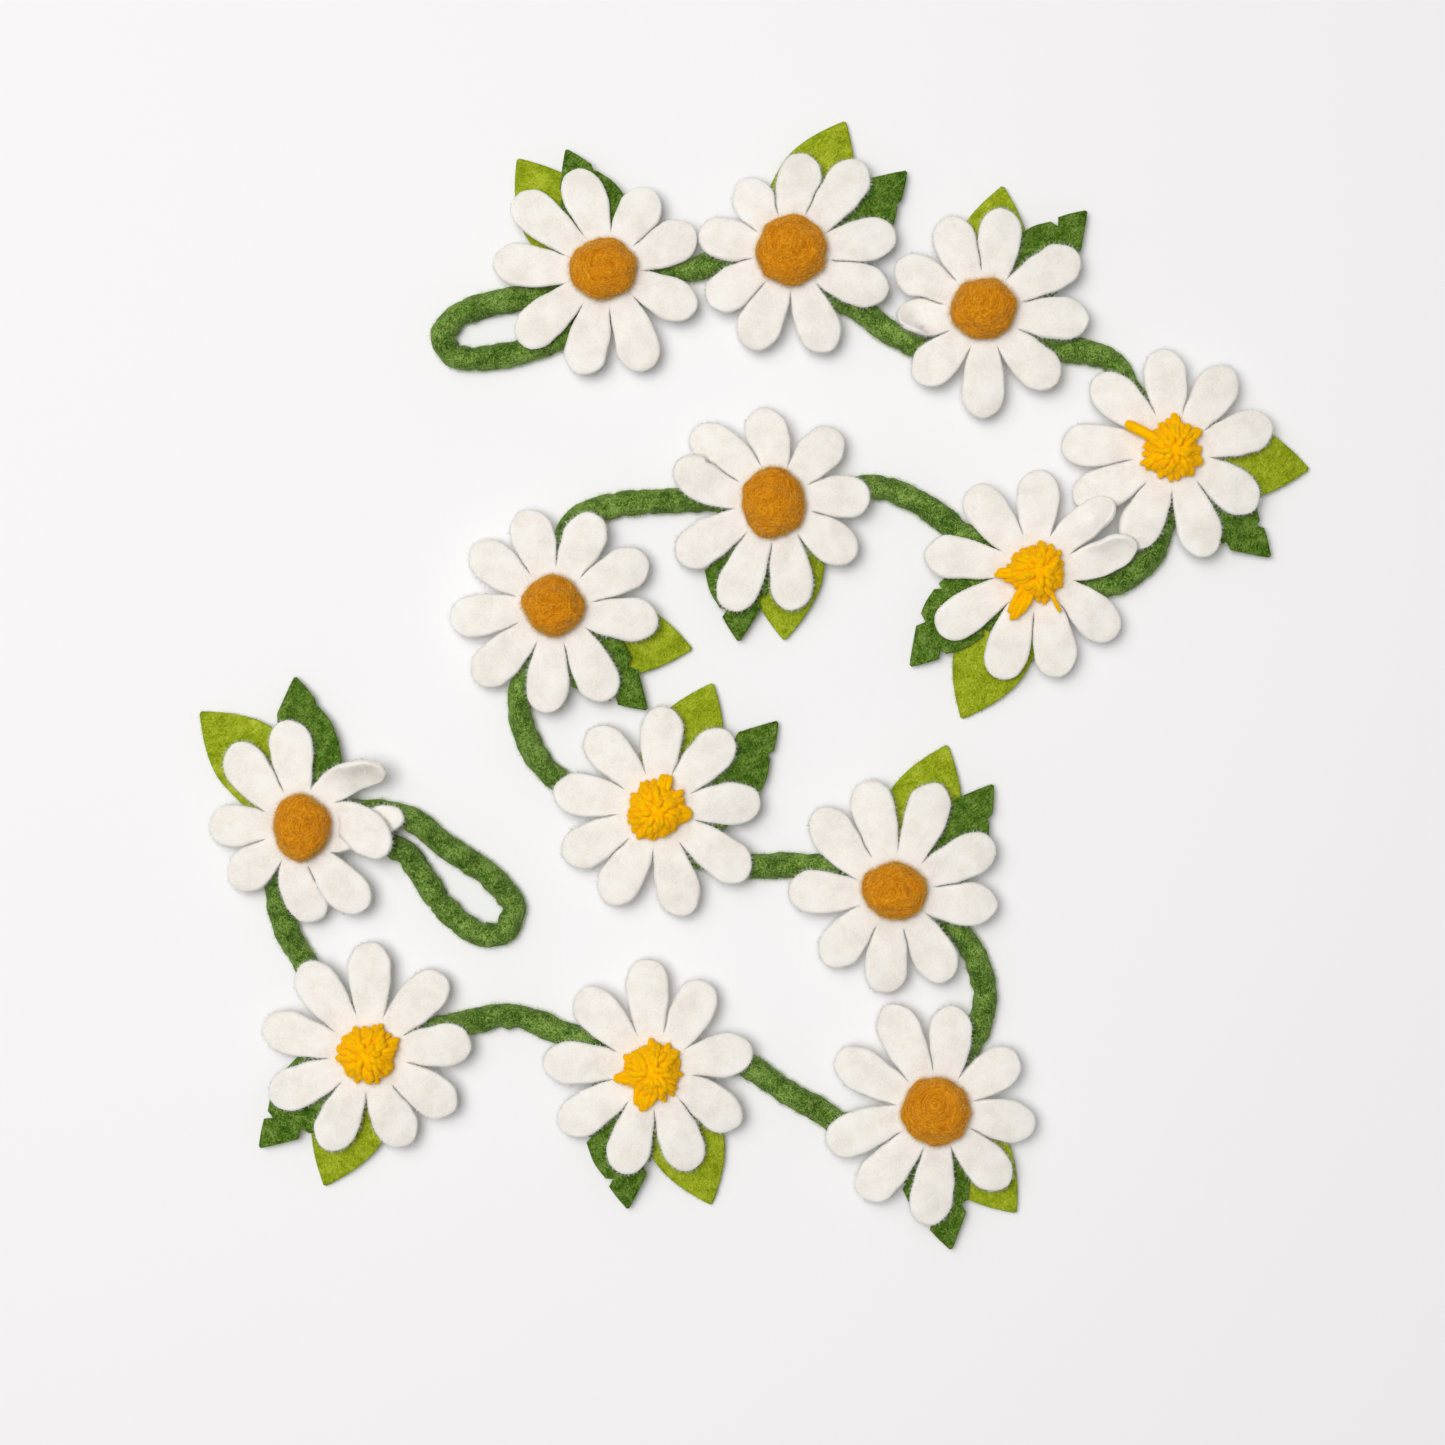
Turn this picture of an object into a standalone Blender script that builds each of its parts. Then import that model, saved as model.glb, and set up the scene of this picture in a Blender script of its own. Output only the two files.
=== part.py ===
"""Felt flower garland, laid out on a table.

Thirteen felt daisies are sewn along one felted wool rope, whose two ends are turned back into
loops. From the bottom up a daisy is a lime leaf, a notched dark leaf, one die-cut sheet of nine
petals, and a felted half ball or a yarn pompom.

Sizes and places in this file are millimetres and degrees, and each mesh is written in metres,
+Z up. The origin is on the table under the middle of the garland's box, with +X to the right
of the layout and +Y to its top.
"""

import math
from collections import namedtuple

import bmesh
import bpy
from mathutils import Matrix, Vector
from mathutils.geometry import interpolate_bezier

METRES = 0.001
LAYOUT_SHIFT = Vector((0.37, 0.05, 0.0))  # puts the middle of the box on the origin

# Rope
ROPE_THICK = 9.8
ROPE_PRESSED = 8.0  # its height where a flower is sewn down on it
ROPE_LUMP = 0.05  # share by which its thickness comes and goes
LUMP_LENGTH = 33.0  # from one thick place to the next
ROPE_SIDES = 8  # an even number, with one side flat on the table
RING_SPACING = 15.0  # most length between two rings
RING_TURN = 24.0  # most bend between two rings
PRESSED_RADIUS = 17.0  # from a flower's middle
FREE_RADIUS = 27.0

# Sheets of felt
GAP = 0.3  # clear air between two pieces
PETAL_THICK = 3.0
LEAF_THICK = 2.0
LEAF_RISE = LEAF_THICK + 0.75  # from the lime leaf to the dark one over it
LIME_BASE = ROPE_PRESSED + GAP + 0.25
PETAL_BASE = LIME_BASE + LEAF_RISE + LEAF_THICK + 0.65
CENTRE_BASE = PETAL_BASE + PETAL_THICK + GAP

# Petals
PETALS = 9
PETAL_STEP = 360.0 / PETALS
HUB_RADIUS = 14.5  # where the slits between the petals end
PETAL_WIDTH = 15.6
PETAL_ROUND = 9.5  # length of the rounded tip
PETAL_FLARE = 1.6  # power by which it widens from the slits to its rounded tip
PETAL_CROWN = 0.5  # how far a petal's middle stands above its edges
PETAL_AIR = 0.25  # from a petal's edge to the line halfway to its neighbour
DROOP_POWER = 1.6  # a petal bends more towards its tip
UNEVEN_ROLL = 5.0  # every petal is turned a little about its own length
# Share of the length at a row's two edges, and at its middle.
PETAL_ROWS = ((0.33, 0.33), (0.65, 0.65), (0.83, 0.83), (0.95, 1.0))
SHARE_BEHIND = 0.05  # a petal's direction is taken from a point this much nearer the hub
CROSSING_ROWS = ((0.18, 0.18),)  # more, where two petals cross
CROSSING_RISE = PETAL_THICK + 0.75  # a petal this far above its neighbour may spread over it
CROSSING_SPREAD = 5.0  # how fast it spreads with more height

# Leaves
LEAF_WIDEST = 30.0  # from the tip
LEAF_NARROWS = 36.0  # length of the ellipse by which it narrows behind its widest place
LEAF_ROOT = ((52.0, 8.0), (64.0, 4.5))  # from the tip, and half width, on the rope
LEAF_LEVEL = 16.5  # it lies level on the rope this far out, and slopes down from there
LEAF_SLOPE = 0.165
# Outlines from the tip to the widest place: distance from the tip and half width on the one
# side, then on the other. The dark leaf has two nicks in each side, and no two of them meet.
LIME_OUTLINE = tuple(
    row * 2
    for row in ((0.0, 0.6), (4.0, 3.9), (9.0, 7.6), (15.0, 11.2), (22.0, 14.0), (30.0, 15.0))
)
DARK_OUTLINE = (
    (0.0, 0.6, 0.0, 0.6),
    (5.0, 3.9, 5.0, 3.9),
    (9.4, 6.4, 13.0, 8.9),
    (12.2, 4.5, 16.6, 7.2),
    (12.8, 7.4, 17.9, 10.8),
    (19.0, 11.1, 22.0, 12.3),
    (27.6, 13.3, 28.2, 13.3),
    (29.6, 11.0, 30.4, 11.2),
    (30.2, 13.4, 31.0, 13.4),
)
NICK_ROWS = (3, 7)  # places of the nicks' bottoms in the outline
TURNED_OVER = (3, 4, 5)  # flowers whose dark leaf lies with its other face up

# Centres
BALL_HEIGHT = 13.0
BALL_SIDES = 12
BALL_LUMP = 0.03  # share by which three lumps widen it near its top
# Share of the ball's half width and of its height at each ring.
BALL_RINGS = ((0.86, 0.0), (1.0, 0.26), (0.93, 0.54), (0.70, 0.80), (0.36, 0.95))
POMPOM_CORE = 6.0  # radius of the tied middle that the yarn ends grow from
POMPOM_CORE_HEIGHT = 2.2  # of the core's own centre above the petals
POMPOM_RADIUS = 11.6
POMPOM_UNEVEN = 0.1  # share by which a yarn end's length and its lean come and go
POMPOM_LOW = 0.7  # lowest that a yarn end hangs above the petals
POMPOM_ROOTS = 1.0  # the yarn grows from this height up
YARN_TAPER = 0.8
YARN_DROOP = 0.07  # how far a yarn end leans up or down
STRAY_HEIGHT = 2.2  # height over the petals at which a far yarn end lies

# One row for each flower. x, y: its middle. centre: the half ball's width and depth, or None
# for a pompom. turn: heading of its first petal at the hub. For its nine petals, clockwise,
# sway is how far each has bent aside, reach its tip's distance from the middle, and lift its
# tip's height over the hub. lime, dark: heading and reach of the leaf's tip, and how far the
# leaf's own line is turned from the line to the flower's middle. nicks: how far open the dark
# leaf's nicks are.
Flower = namedtuple("Flower", "x y centre turn sway reach lift lime dark nicks")
FLOWERS = (
    Flower(-59, 161, (26.5, 24), 139, (1, 9, 0, 6, -3, -7, -2, 1, -5),
           (45, 41, 37, 39, 39, 42, 41, 43, 43),
           (-3, -3.5, -4, -2.2, -3, -4, -3.5, -2.2, -2.2), (127, 56.5, -2), (107, 50.5, 8), 0.3),
    Flower(14, 168, (28, 27.5), 169, (-2, -7, -9, 3, 2, 11, 2, -4, 3),
           (36.5, 34, 39, 45, 41.5, 40.5, 41, 40.5, 37.5),
           (-2.2, -3, -3, -3.5, -4, -2.2, -3.5, -4, -3), (68, 57, -4), (36, 56, 10), 0.3),
    Flower(88.5, 145.5, (25.5, 24), 152, (-1, -1, 8, -2, 4, 4, -2, -7, -4),
           (38, 39, 40.5, 43.5, 41.5, 40.5, 41.5, 37, 33),
           (-1.5, -3.5, -3, -3.5, -2.2, -2.2, -4, -4, 3), (80, 50.5, 0), (44, 57.5, 3), 1.2),
    Flower(161.5, 90.5, None, 132, (4, 3, 2, 4, -5, -2, -6, -5, 5),
           (41, 40, 40.5, 41, 40, 43, 40, 41.5, 42),
           (-2.2, -2.2, -4, -3.5, -3.5, -2.2, -2.2, -4.2, -3.5), (-6, 56, 0), (-45, 57, 2), 0.8),
    Flower(109, 43.5, None, 168, (2, -1, -1, -5, 9, -7, -6, 4, 4),
           (43.5, 41.5, 40, 40.5, 40.5, 40, 41.5, 43.5, 44),
           (-2.2, -2.2, -4, 6, 3.3, -4, -3.5, -4, -3), (-116, 63, 1), (217, 60, 11), 1.0),
    Flower(7, 70.5, (24.5, 27.5), 168, (-11, 11, 12, 0, -5, -2, -8, -1, 3),
           (40.5, 42, 37, 38, 38, 38, 42, 45, 43),
           (3.5, -3.5, -3.5, -4, -1.5, -3, -4, -3, -3.5), (-85, 53, -6), (-104, 55, 14), 1.0),
    Flower(-78.5, 30.5, (24, 24), 146, (-3, 1, -1, 2, 7, -7, 0, -2, 2),
           (39, 39, 39.5, 41, 41, 42.5, 41.5, 42, 40.5),
           (-4, -3, -2.2, -4, -3, -3.5, -2.2, -3.5, -4), (-17, 56, 8), (-48, 54, 5), 1.0),
    Flower(-38.5, -49, None, 126, (4, 0, 0, -2, -2, -1, -5, 2, 4),
           (40.5, 40.5, 41.5, 40.5, 44, 42.5, 41, 40.5, 40.5),
           (-3.5, -3, -3.5, -3, -2.2, -4, -3.5, -4, -2.2), (66, 54, 0), (36, 58.5, 13), 0.6),
    Flower(54, -80, (25.5, 22.5), 144, (-11, 0, 4, 1, 9, -4, 1, 4, -4),
           (43, 43.5, 44.5, 43, 40.5, 41, 40.5, 39, 41),
           (-2, -3.5, -3, -3.5, -3, -2.2, -4, -3.5, -2.2), (69, 60, 0), (46, 56.5, 8), 0.4),
    Flower(70, -165.5, (26.5, 26.5), 153, (-2, 2, 9, 0, -4, 0, -8, -3, 6),
           (43.5, 44, 40.5, 38.5, 39.5, 41, 45, 44.5, 44),
           (-3.5, -4, -2.2, -2.5, -4, -3.5, -3, -4, -2.2), (-52, 52.5, 0), (-83, 56, 6), 0.8),
    Flower(-40, -150, None, 133, (0, 1, 6, -3, -7, -2, 1, 0, 4),
           (41.5, 43, 40, 39.5, 40, 42, 42, 42.5, 42.5),
           (-3, -4, -3.5, -2.2, -4, -3.5, -3, -4, -2.2), (-67, 58.5, -2), (-100, 56, 16), 1.0),
    Flower(-150.5, -143.5, None, 127, (0, 4, -1, -2, -1, 6, -1, -2, -2),
           (43, 43, 42, 40, 40, 39, 41, 42, 42.5),
           (-2.2, -3.5, -4, -2.2, -3.5, -4, -3.5, -3, -4), (-109, 56, -3), (-139, 57.5, 6), 1.2),
    Flower(-176, -55.5, (22.5, 27), 138, (-7, 1, -25, -37, 27, 11, 23, 1, 2),
           (42, 42, 39.5, 34.5, 39.5, 40, 36.5, 36, 36.5),
           (-3.5, -3, 4.5, 4.4, -2.8, -2, -4.5, -4, -3.5), (133, 61, 5), (94, 58.5, 5), 0.2),
)  # fmt: skip

# Single petals, by flower and petal. Rolled about its own length, left side up seen from the hub.
ROLLED = {
    (3, 9): 30.0, (5, 4): -22.0, (5, 5): 20.0, (6, 1): -14.0,
    (13, 3): 35.0, (13, 4): 0.0, (13, 5): 0.0,
}  # fmt: skip
# Bowed sideways between hub and tip, to the left.
BOWED = {(13, 4): -3.0, (13, 5): 7.0}
# Power by which it leaves the hub's level, where that isn't DROOP_POWER.
STEEP = {(13, 4): 0.4, (13, 5): 0.4}
# Yarn ends that lie far out over the petals: heading and reach, by flower.
STRAYS = {
    4: ((149, 21), (84, 15), (36, 14.5)),
    5: ((182, 16), (248, 22.5), (-58, 16.5)),
    8: ((75, 15.5), (-5, 14.5)),
    11: ((191, 16), (254, 17)),
    12: (),
}

# The rope's middle line on the table, one row for each stretch.
ROUTE = (
    # The first loop, from the end that is sewn under the first flower
    (-61, 157), (-82, 153), (-100, 150), (-111, 147), (-118, 143), (-122, 137), (-119, 130),
    (-112, 128), (-104, 128), (-94, 130), (-82, 134), (-68, 141), (-53, 149), (-37, 162),
    # First flower to second
    (-24, 163), (-14, 166), (-2, 165), (14, 161),
    (29, 153), (41, 147), (55, 137), (69, 132), (89, 137),
    (118, 132), (140, 126), (146, 117), (156, 101), (160, 84),
    (160, 64), (154, 49), (141, 40), (121, 40), (109, 43),
    (94, 51), (80, 60), (63, 72), (49, 77), (28, 74), (7, 72),
    # Sixth flower to seventh
    (-21, 73), (-37, 72), (-56, 70), (-70, 64), (-76, 54), (-80, 37),
    (-86, 13), (-92, -6), (-88, -24), (-76, -38), (-56, -44), (-41, -52),
    (-25, -66), (-13, -70), (18, -71), (37, -73), (54, -79),
    (71, -90), (83, -101), (90, -123), (83, -144), (69, -163),
    # Tenth flower to eleventh
    (32, -171), (22, -165), (10, -158), (-2, -150), (-21, -146),
    (-44, -147), (-74, -137), (-95, -130), (-119, -134), (-138, -136), (-158, -132),
    (-175, -111), (-185, -92), (-187, -74), (-178, -58), (-167, -51),
    # The last loop, back to the end that is sewn under the last flower
    (-151, -50), (-141, -51), (-133, -54), (-125, -60), (-111, -70), (-101, -78), (-95, -87),
    (-98, -96), (-105, -98), (-114, -94), (-121, -88), (-129, -77), (-137, -66), (-146, -62),
    (-159, -61),
)  # fmt: skip


def clear_scene():
    for obj in list(bpy.data.objects):
        bpy.data.objects.remove(obj, do_unlink=True)


def make_material(name, colour, roughness):
    material = bpy.data.materials.new(name)
    material.use_nodes = True
    shader = material.node_tree.nodes["Principled BSDF"]
    shader.inputs["Base Color"].default_value = (*colour, 1.0)
    shader.inputs["Roughness"].default_value = roughness
    shader.inputs["Metallic"].default_value = 0.0
    return material


def make_object(name, bm, material, parent=None):
    """Scales the mesh from millimetres to metres and puts it in the scene under its parent."""
    bmesh.ops.recalc_face_normals(bm, faces=bm.faces)
    bmesh.ops.scale(bm, vec=Vector((METRES, METRES, METRES)), verts=bm.verts)
    mesh = bpy.data.meshes.new(name)
    bm.to_mesh(mesh)
    bm.free()
    mesh.materials.append(material)
    obj = bpy.data.objects.new(name, mesh)
    obj.parent = parent
    bpy.context.scene.collection.objects.link(obj)
    return obj


def polar(heading, distance):
    angle = math.radians(heading)
    return Vector((math.cos(angle), math.sin(angle), 0.0)) * distance


def smoothstep(value):
    share = min(max(value, 0.0), 1.0)
    return share * share * (3.0 - 2.0 * share)


# Rope

def smooth_route(points, pieces=16):
    """A dense smooth curve through the points, with tangents weighted by the spans beside them."""
    points = [Vector((x, y, 0.0)) for x, y in points]
    spans = [(b - a).length for a, b in zip(points, points[1:])]
    slopes = [(b - a) / span for a, b, span in zip(points, points[1:], spans)]
    tangents = [slopes[0]]
    for before, after, slope_in, slope_out in zip(spans, spans[1:], slopes, slopes[1:]):
        tangents.append((slope_in * after + slope_out * before) / (before + after))
    tangents.append(slopes[-1])
    curve = [points[0]]
    for i, span in enumerate(spans):
        out_handle = points[i] + tangents[i] * span / 3.0
        in_handle = points[i + 1] - tangents[i + 1] * span / 3.0
        curve += interpolate_bezier(points[i], out_handle, in_handle, points[i + 1], pieces)[1:]
    return curve


def ring_places(curve):
    """(point, direction, length so far) for each ring, closer together in a bend."""
    places = [(curve[0], (curve[1] - curve[0]).normalized(), 0.0)]
    length = 0.0
    for before, here, after in zip(curve, curve[1:], curve[2:]):
        length += (here - before).length
        direction = (after - before).normalized()
        _, last_direction, last_length = places[-1]
        turned = math.degrees(direction.angle(last_direction))
        if length - last_length > RING_SPACING or turned > RING_TURN:
            places.append((here, direction, length))
    length += (curve[-1] - curve[-2]).length
    places.append((curve[-1], (curve[-1] - curve[-2]).normalized(), length))
    return places


def rope_height(point):
    """The rope's height here: pressed down where it runs under a flower."""
    nearest = min((point - Vector((f.x, f.y, 0.0))).length for f in FLOWERS)
    free = smoothstep((nearest - PRESSED_RADIUS) / (FREE_RADIUS - PRESSED_RADIUS))
    return ROPE_PRESSED + (ROPE_THICK - ROPE_PRESSED) * free


def build_rope(material):
    bm = bmesh.new()
    corner = math.cos(math.pi / ROPE_SIDES)
    rings = []
    for point, direction, length in ring_places(smooth_route(ROUTE)):
        side = Vector((direction.y, -direction.x, 0.0))
        height = rope_height(point)
        width = ROPE_THICK * (1.0 + ROPE_LUMP * math.sin(2.0 * math.pi * length / LUMP_LENGTH))
        ring = []
        for k in range(ROPE_SIDES):
            angle = 2.0 * math.pi * (k + 0.5) / ROPE_SIDES
            across = 0.5 * width * math.cos(angle) / corner
            up = 0.5 * height * (1.0 + math.sin(angle) / corner)
            ring.append(bm.verts.new(point + side * across + Vector((0.0, 0.0, up))))
        rings.append(ring)
    for ring, after in zip(rings, rings[1:]):
        for k in range(ROPE_SIDES):
            following = (k + 1) % ROPE_SIDES
            bm.faces.new((ring[k], ring[following], after[following], after[k]))
    bm.faces.new(rings[0])
    bm.faces.new(rings[-1])
    return make_object("rope", bm, material)


# Sheets of felt

def pair(bm, point, up, thick):
    """The top and the bottom corner of a sheet at a point of its middle surface."""
    half = up * (0.5 * thick)
    return bm.verts.new(point + half), bm.verts.new(point - half)


def skin_strip(bm, rows, closed_start):
    """Faces over rows of three corner pairs: top, bottom, the two long walls and the end walls."""
    for inner, outer in zip(rows, rows[1:]):
        for a in (0, 1):
            for face in (0, 1):
                bm.faces.new((inner[a][face], inner[a + 1][face],
                              outer[a + 1][face], outer[a][face]))
        for edge in (0, 2):
            bm.faces.new((inner[edge][0], inner[edge][1], outer[edge][1], outer[edge][0]))
    for row in rows[-1:] + (rows[:1] if closed_start else []):
        for a in (0, 1):
            bm.faces.new((row[a][0], row[a + 1][0], row[a + 1][1], row[a][1]))


# Petals

def petal_heading(number, index, share):
    flower = FLOWERS[number - 1]
    bow = BOWED.get((number, index + 1), 0.0) * math.sin(math.pi * share)
    return flower.turn - PETAL_STEP * index + flower.sway[index] * share + bow


def petal_roll(number, index, share):
    own = UNEVEN_ROLL * math.sin(2.3 * index + number)
    roll = ROLLED.get((number, index + 1), own)
    return math.radians(roll) * smoothstep(1.5 * share)


def petal_rise(number, index, share):
    """Height of a petal's middle line over the hub."""
    power = STEEP.get((number, index + 1), DROOP_POWER)
    return FLOWERS[number - 1].lift[index] * share**power


def petal_outline(length, share):
    """Half width of a petal at a share of its length: it widens, then ends in half an ellipse."""
    from_tip = (1.0 - share) * length
    if from_tip < PETAL_ROUND:
        lean = 1.0 - from_tip / PETAL_ROUND
        return 0.5 * PETAL_WIDTH * math.sqrt(1.0 - lean * lean)
    root = HUB_RADIUS * math.sin(math.radians(PETAL_STEP / 2.0))
    along = (from_tip - PETAL_ROUND) / (length - PETAL_ROUND)
    return root + (0.5 * PETAL_WIDTH - root) * (1.0 - along**PETAL_FLARE)


def petal_share(number, index, radius):
    """The share of a petal's length that lies at this distance from the flower's middle."""
    return max(0.0, (radius - HUB_RADIUS) / (FLOWERS[number - 1].reach[index] - HUB_RADIUS))


def petal_middle(number, index, share):
    """A point of a petal's middle line, halfway through the felt."""
    reach = FLOWERS[number - 1].reach[index]
    point = polar(petal_heading(number, index, share), HUB_RADIUS + (reach - HUB_RADIUS) * share)
    point.z = PETAL_BASE + 0.5 * PETAL_THICK + petal_rise(number, index, share)
    return point


def clear_of_neighbour(number, index, point, side):
    """An edge point, turned back if it passes the line halfway to the petal beside it.

    It may pass that line only as far as the one petal runs high enough over the other.
    """
    radius = math.hypot(point.x, point.y)
    neighbour = (index - side) % PETALS
    own, other = petal_share(number, index, radius), petal_share(number, neighbour, radius)
    if other > 1.0:
        return point
    heading = petal_heading(number, index, own)
    apart = side * (petal_heading(number, neighbour, other) - heading)
    apart = (apart + 180.0) % 360.0 - 180.0
    between = abs(petal_rise(number, index, own) - petal_rise(number, neighbour, other))
    over = CROSSING_SPREAD * max(0.0, between - CROSSING_RISE)
    room = apart / 2.0 + math.degrees((over - PETAL_AIR * smoothstep(8.0 * own)) / radius)
    turned = side * (math.degrees(math.atan2(point.y, point.x)) - heading)
    turned = (turned + 180.0) % 360.0 - 180.0
    back = math.radians(-side * max(0.0, turned - room))
    return Matrix.Rotation(back, 3, "Z") @ point


def petal_row(bm, number, index, edge_share, middle_share):
    """Three corner pairs across a petal: left edge, middle and right edge."""
    row = []
    length = FLOWERS[number - 1].reach[index] - HUB_RADIUS
    for side in (1, 0, -1):
        share = edge_share if side else middle_share
        point = petal_middle(number, index, share)
        along = (point - petal_middle(number, index, share - SHARE_BEHIND)).normalized()
        left = Vector((-along.y, along.x, 0.0)).normalized()
        roll = petal_roll(number, index, share)
        across = left * math.cos(roll) + Vector((0.0, 0.0, math.sin(roll)))
        normal = along.cross(across).normalized()
        if side:
            point += across * (side * petal_outline(length, share))
            point = clear_of_neighbour(number, index, point, side)
        else:
            point += normal * (PETAL_CROWN * smoothstep(2.0 * share))
        row.append(pair(bm, point, normal, PETAL_THICK))
    return row


def build_petals(number, material, place):
    """One die-cut sheet: a round hub, and nine petals that part at its rim."""
    bm = bmesh.new()
    turn = FLOWERS[number - 1].turn
    level = Vector((0.0, 0.0, PETAL_BASE + 0.5 * PETAL_THICK))
    up = Vector((0.0, 0.0, 1.0))
    middle = pair(bm, level, up, PETAL_THICK)
    slits = [
        pair(bm, level + polar(turn + PETAL_STEP * (0.5 - i), HUB_RADIUS), up, PETAL_THICK)
        for i in range(PETALS)
    ]
    for index in range(PETALS):
        rim = level + polar(turn - PETAL_STEP * index, HUB_RADIUS)
        root = [slits[index], pair(bm, rim, up, PETAL_THICK), slits[(index + 1) % PETALS]]
        for a in (0, 1):
            for face in (0, 1):
                bm.faces.new((middle[face], root[a][face], root[a + 1][face]))
        rows = [root]
        crossed = (number, index + 1) in STEEP
        for edge_share, middle_share in CROSSING_ROWS + PETAL_ROWS if crossed else PETAL_ROWS:
            rows.append(petal_row(bm, number, index, edge_share, middle_share))
        skin_strip(bm, rows, closed_start=False)
    return make_object(f"petals_{number:02d}", bm, material, place)


# Leaves

def leaf_height(distance):
    """Underside of the lime leaf at a distance from the flower's middle."""
    return LIME_BASE - LEAF_SLOPE * max(0.0, distance - LEAF_LEVEL)


def dark_outline(number):
    """The outline of one dark leaf, its nicks as open as its own are."""
    rows = [list(row) for row in DARK_OUTLINE]
    for place in NICK_ROWS:
        for half in (1, 3):
            whole = 0.5 * (rows[place - 1][half] + rows[place + 1][half])
            depth = whole - rows[place][half]
            rows[place][half] = whole - depth * FLOWERS[number - 1].nicks
    if number in TURNED_OVER:
        return rows
    return [row[2:] + row[:2] for row in rows]


def build_leaf(name, pose, outline, rise, material, place):
    """A cut leaf that lies over the rope at its root and slopes down to its tip."""
    heading, reach, lean = pose
    tip = polar(heading, reach)
    along = polar(heading + lean, 1.0)
    left = polar(heading + lean + 90.0, 1.0)
    rows = [((near, near_half), (far, far_half)) for near, near_half, far, far_half in outline]
    level = reach - LEAF_LEVEL
    narrowed = outline[-1][1] * math.sqrt(1.0 - ((level - LEAF_WIDEST) / LEAF_NARROWS) ** 2)
    for corner in ((level, narrowed),) + LEAF_ROOT:
        rows.append((corner, corner))
    bm = bmesh.new()
    corners = []
    for (near, near_half), (far, far_half) in rows:
        row = []
        for from_tip, half in ((near, near_half), (0.5 * (near + far), 0.0), (far, -far_half)):
            point = tip - along * from_tip + left * half
            point.z = leaf_height(point.length) + rise + 0.5 * LEAF_THICK
            row.append(pair(bm, point, Vector((0.0, 0.0, 1.0)), LEAF_THICK))
        corners.append(row)
    skin_strip(bm, corners, closed_start=True)
    return make_object(name, bm, material, place)


# Centres

def build_ball(number, flower, material, place):
    """A needle-felted half ball with a flat back, a little lumpy round its side."""
    bm = bmesh.new()
    half = (0.5 * flower.centre[0], 0.5 * flower.centre[1])
    rings = []
    for wide, high in BALL_RINGS:
        ring = []
        for k in range(BALL_SIDES):
            angle = 2.0 * math.pi * k / BALL_SIDES
            lump = 1.0 + BALL_LUMP * math.sin(3.0 * angle + number) * high
            ring.append(bm.verts.new((
                half[0] * wide * lump * math.cos(angle),
                half[1] * wide * lump * math.sin(angle),
                CENTRE_BASE + BALL_HEIGHT * high,
            )))
        rings.append(ring)
    for ring, above in zip(rings, rings[1:]):
        for k in range(BALL_SIDES):
            following = (k + 1) % BALL_SIDES
            bm.faces.new((ring[k], ring[following], above[following], above[k]))
    top = bm.verts.new((0.0, 0.0, CENTRE_BASE + BALL_HEIGHT))
    for k in range(BALL_SIDES):
        bm.faces.new((rings[-1][k], rings[-1][(k + 1) % BALL_SIDES], top))
    bm.faces.new(rings[0])
    return make_object(f"ball_{number:02d}", bm, material, place)


def build_pompom(number, material, place):
    """Yarn ends standing apart all over a dome, with their roots fused in the tied core."""
    bm = bmesh.new()
    core = Vector((0.0, 0.0, POMPOM_CORE_HEIGHT))
    bmesh.ops.create_icosphere(bm, subdivisions=2, radius=POMPOM_CORE)
    bmesh.ops.translate(bm, vec=core, verts=bm.verts)
    cut = bmesh.ops.bisect_plane(
        bm, geom=bm.verts[:] + bm.edges[:] + bm.faces[:],
        plane_co=(0.0, 0.0, 0.0), plane_no=(0.0, 0.0, -1.0), clear_outer=True,
    )  # fmt: skip
    rim = [item for item in cut["geom_cut"] if isinstance(item, bmesh.types.BMEdge)]
    bmesh.ops.holes_fill(bm, edges=rim)
    roots = [f for f in bm.faces if f.calc_center_median().z > POMPOM_ROOTS]
    ends = bmesh.ops.extrude_discrete_faces(bm, faces=roots)["faces"]
    strays = {}
    for heading, reach in STRAYS[number]:
        low = polar(heading, 1.0) + Vector((0.0, 0.0, 0.1))
        aim = min(ends, key=lambda face: low.angle(face.calc_center_median() - core))
        strays[aim] = polar(heading, reach) + Vector((0.0, 0.0, STRAY_HEIGHT))
    for k, end in enumerate(ends):
        root = end.calc_center_median()
        out = (root - core).normalized()
        swirl = Vector((-out.y, out.x, 0.0)) * (POMPOM_UNEVEN * math.sin(1.9 * k + number))
        droop = Vector((0.0, 0.0, YARN_DROOP * math.sin(2.7 * k + 2.0 * number)))
        length = POMPOM_RADIUS * (1.0 + POMPOM_UNEVEN * math.sin(4.1 * k + 3.0 * number))
        tip = strays.get(end, core + (out + swirl + droop).normalized() * length)
        for vert in end.verts:
            vert.co = tip + (vert.co - root) * YARN_TAPER
            vert.co.z = max(vert.co.z, POMPOM_LOW)
    bmesh.ops.translate(bm, vec=Vector((0.0, 0.0, CENTRE_BASE)), verts=bm.verts)
    return make_object(f"pompom_{number:02d}", bm, material, place)


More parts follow.
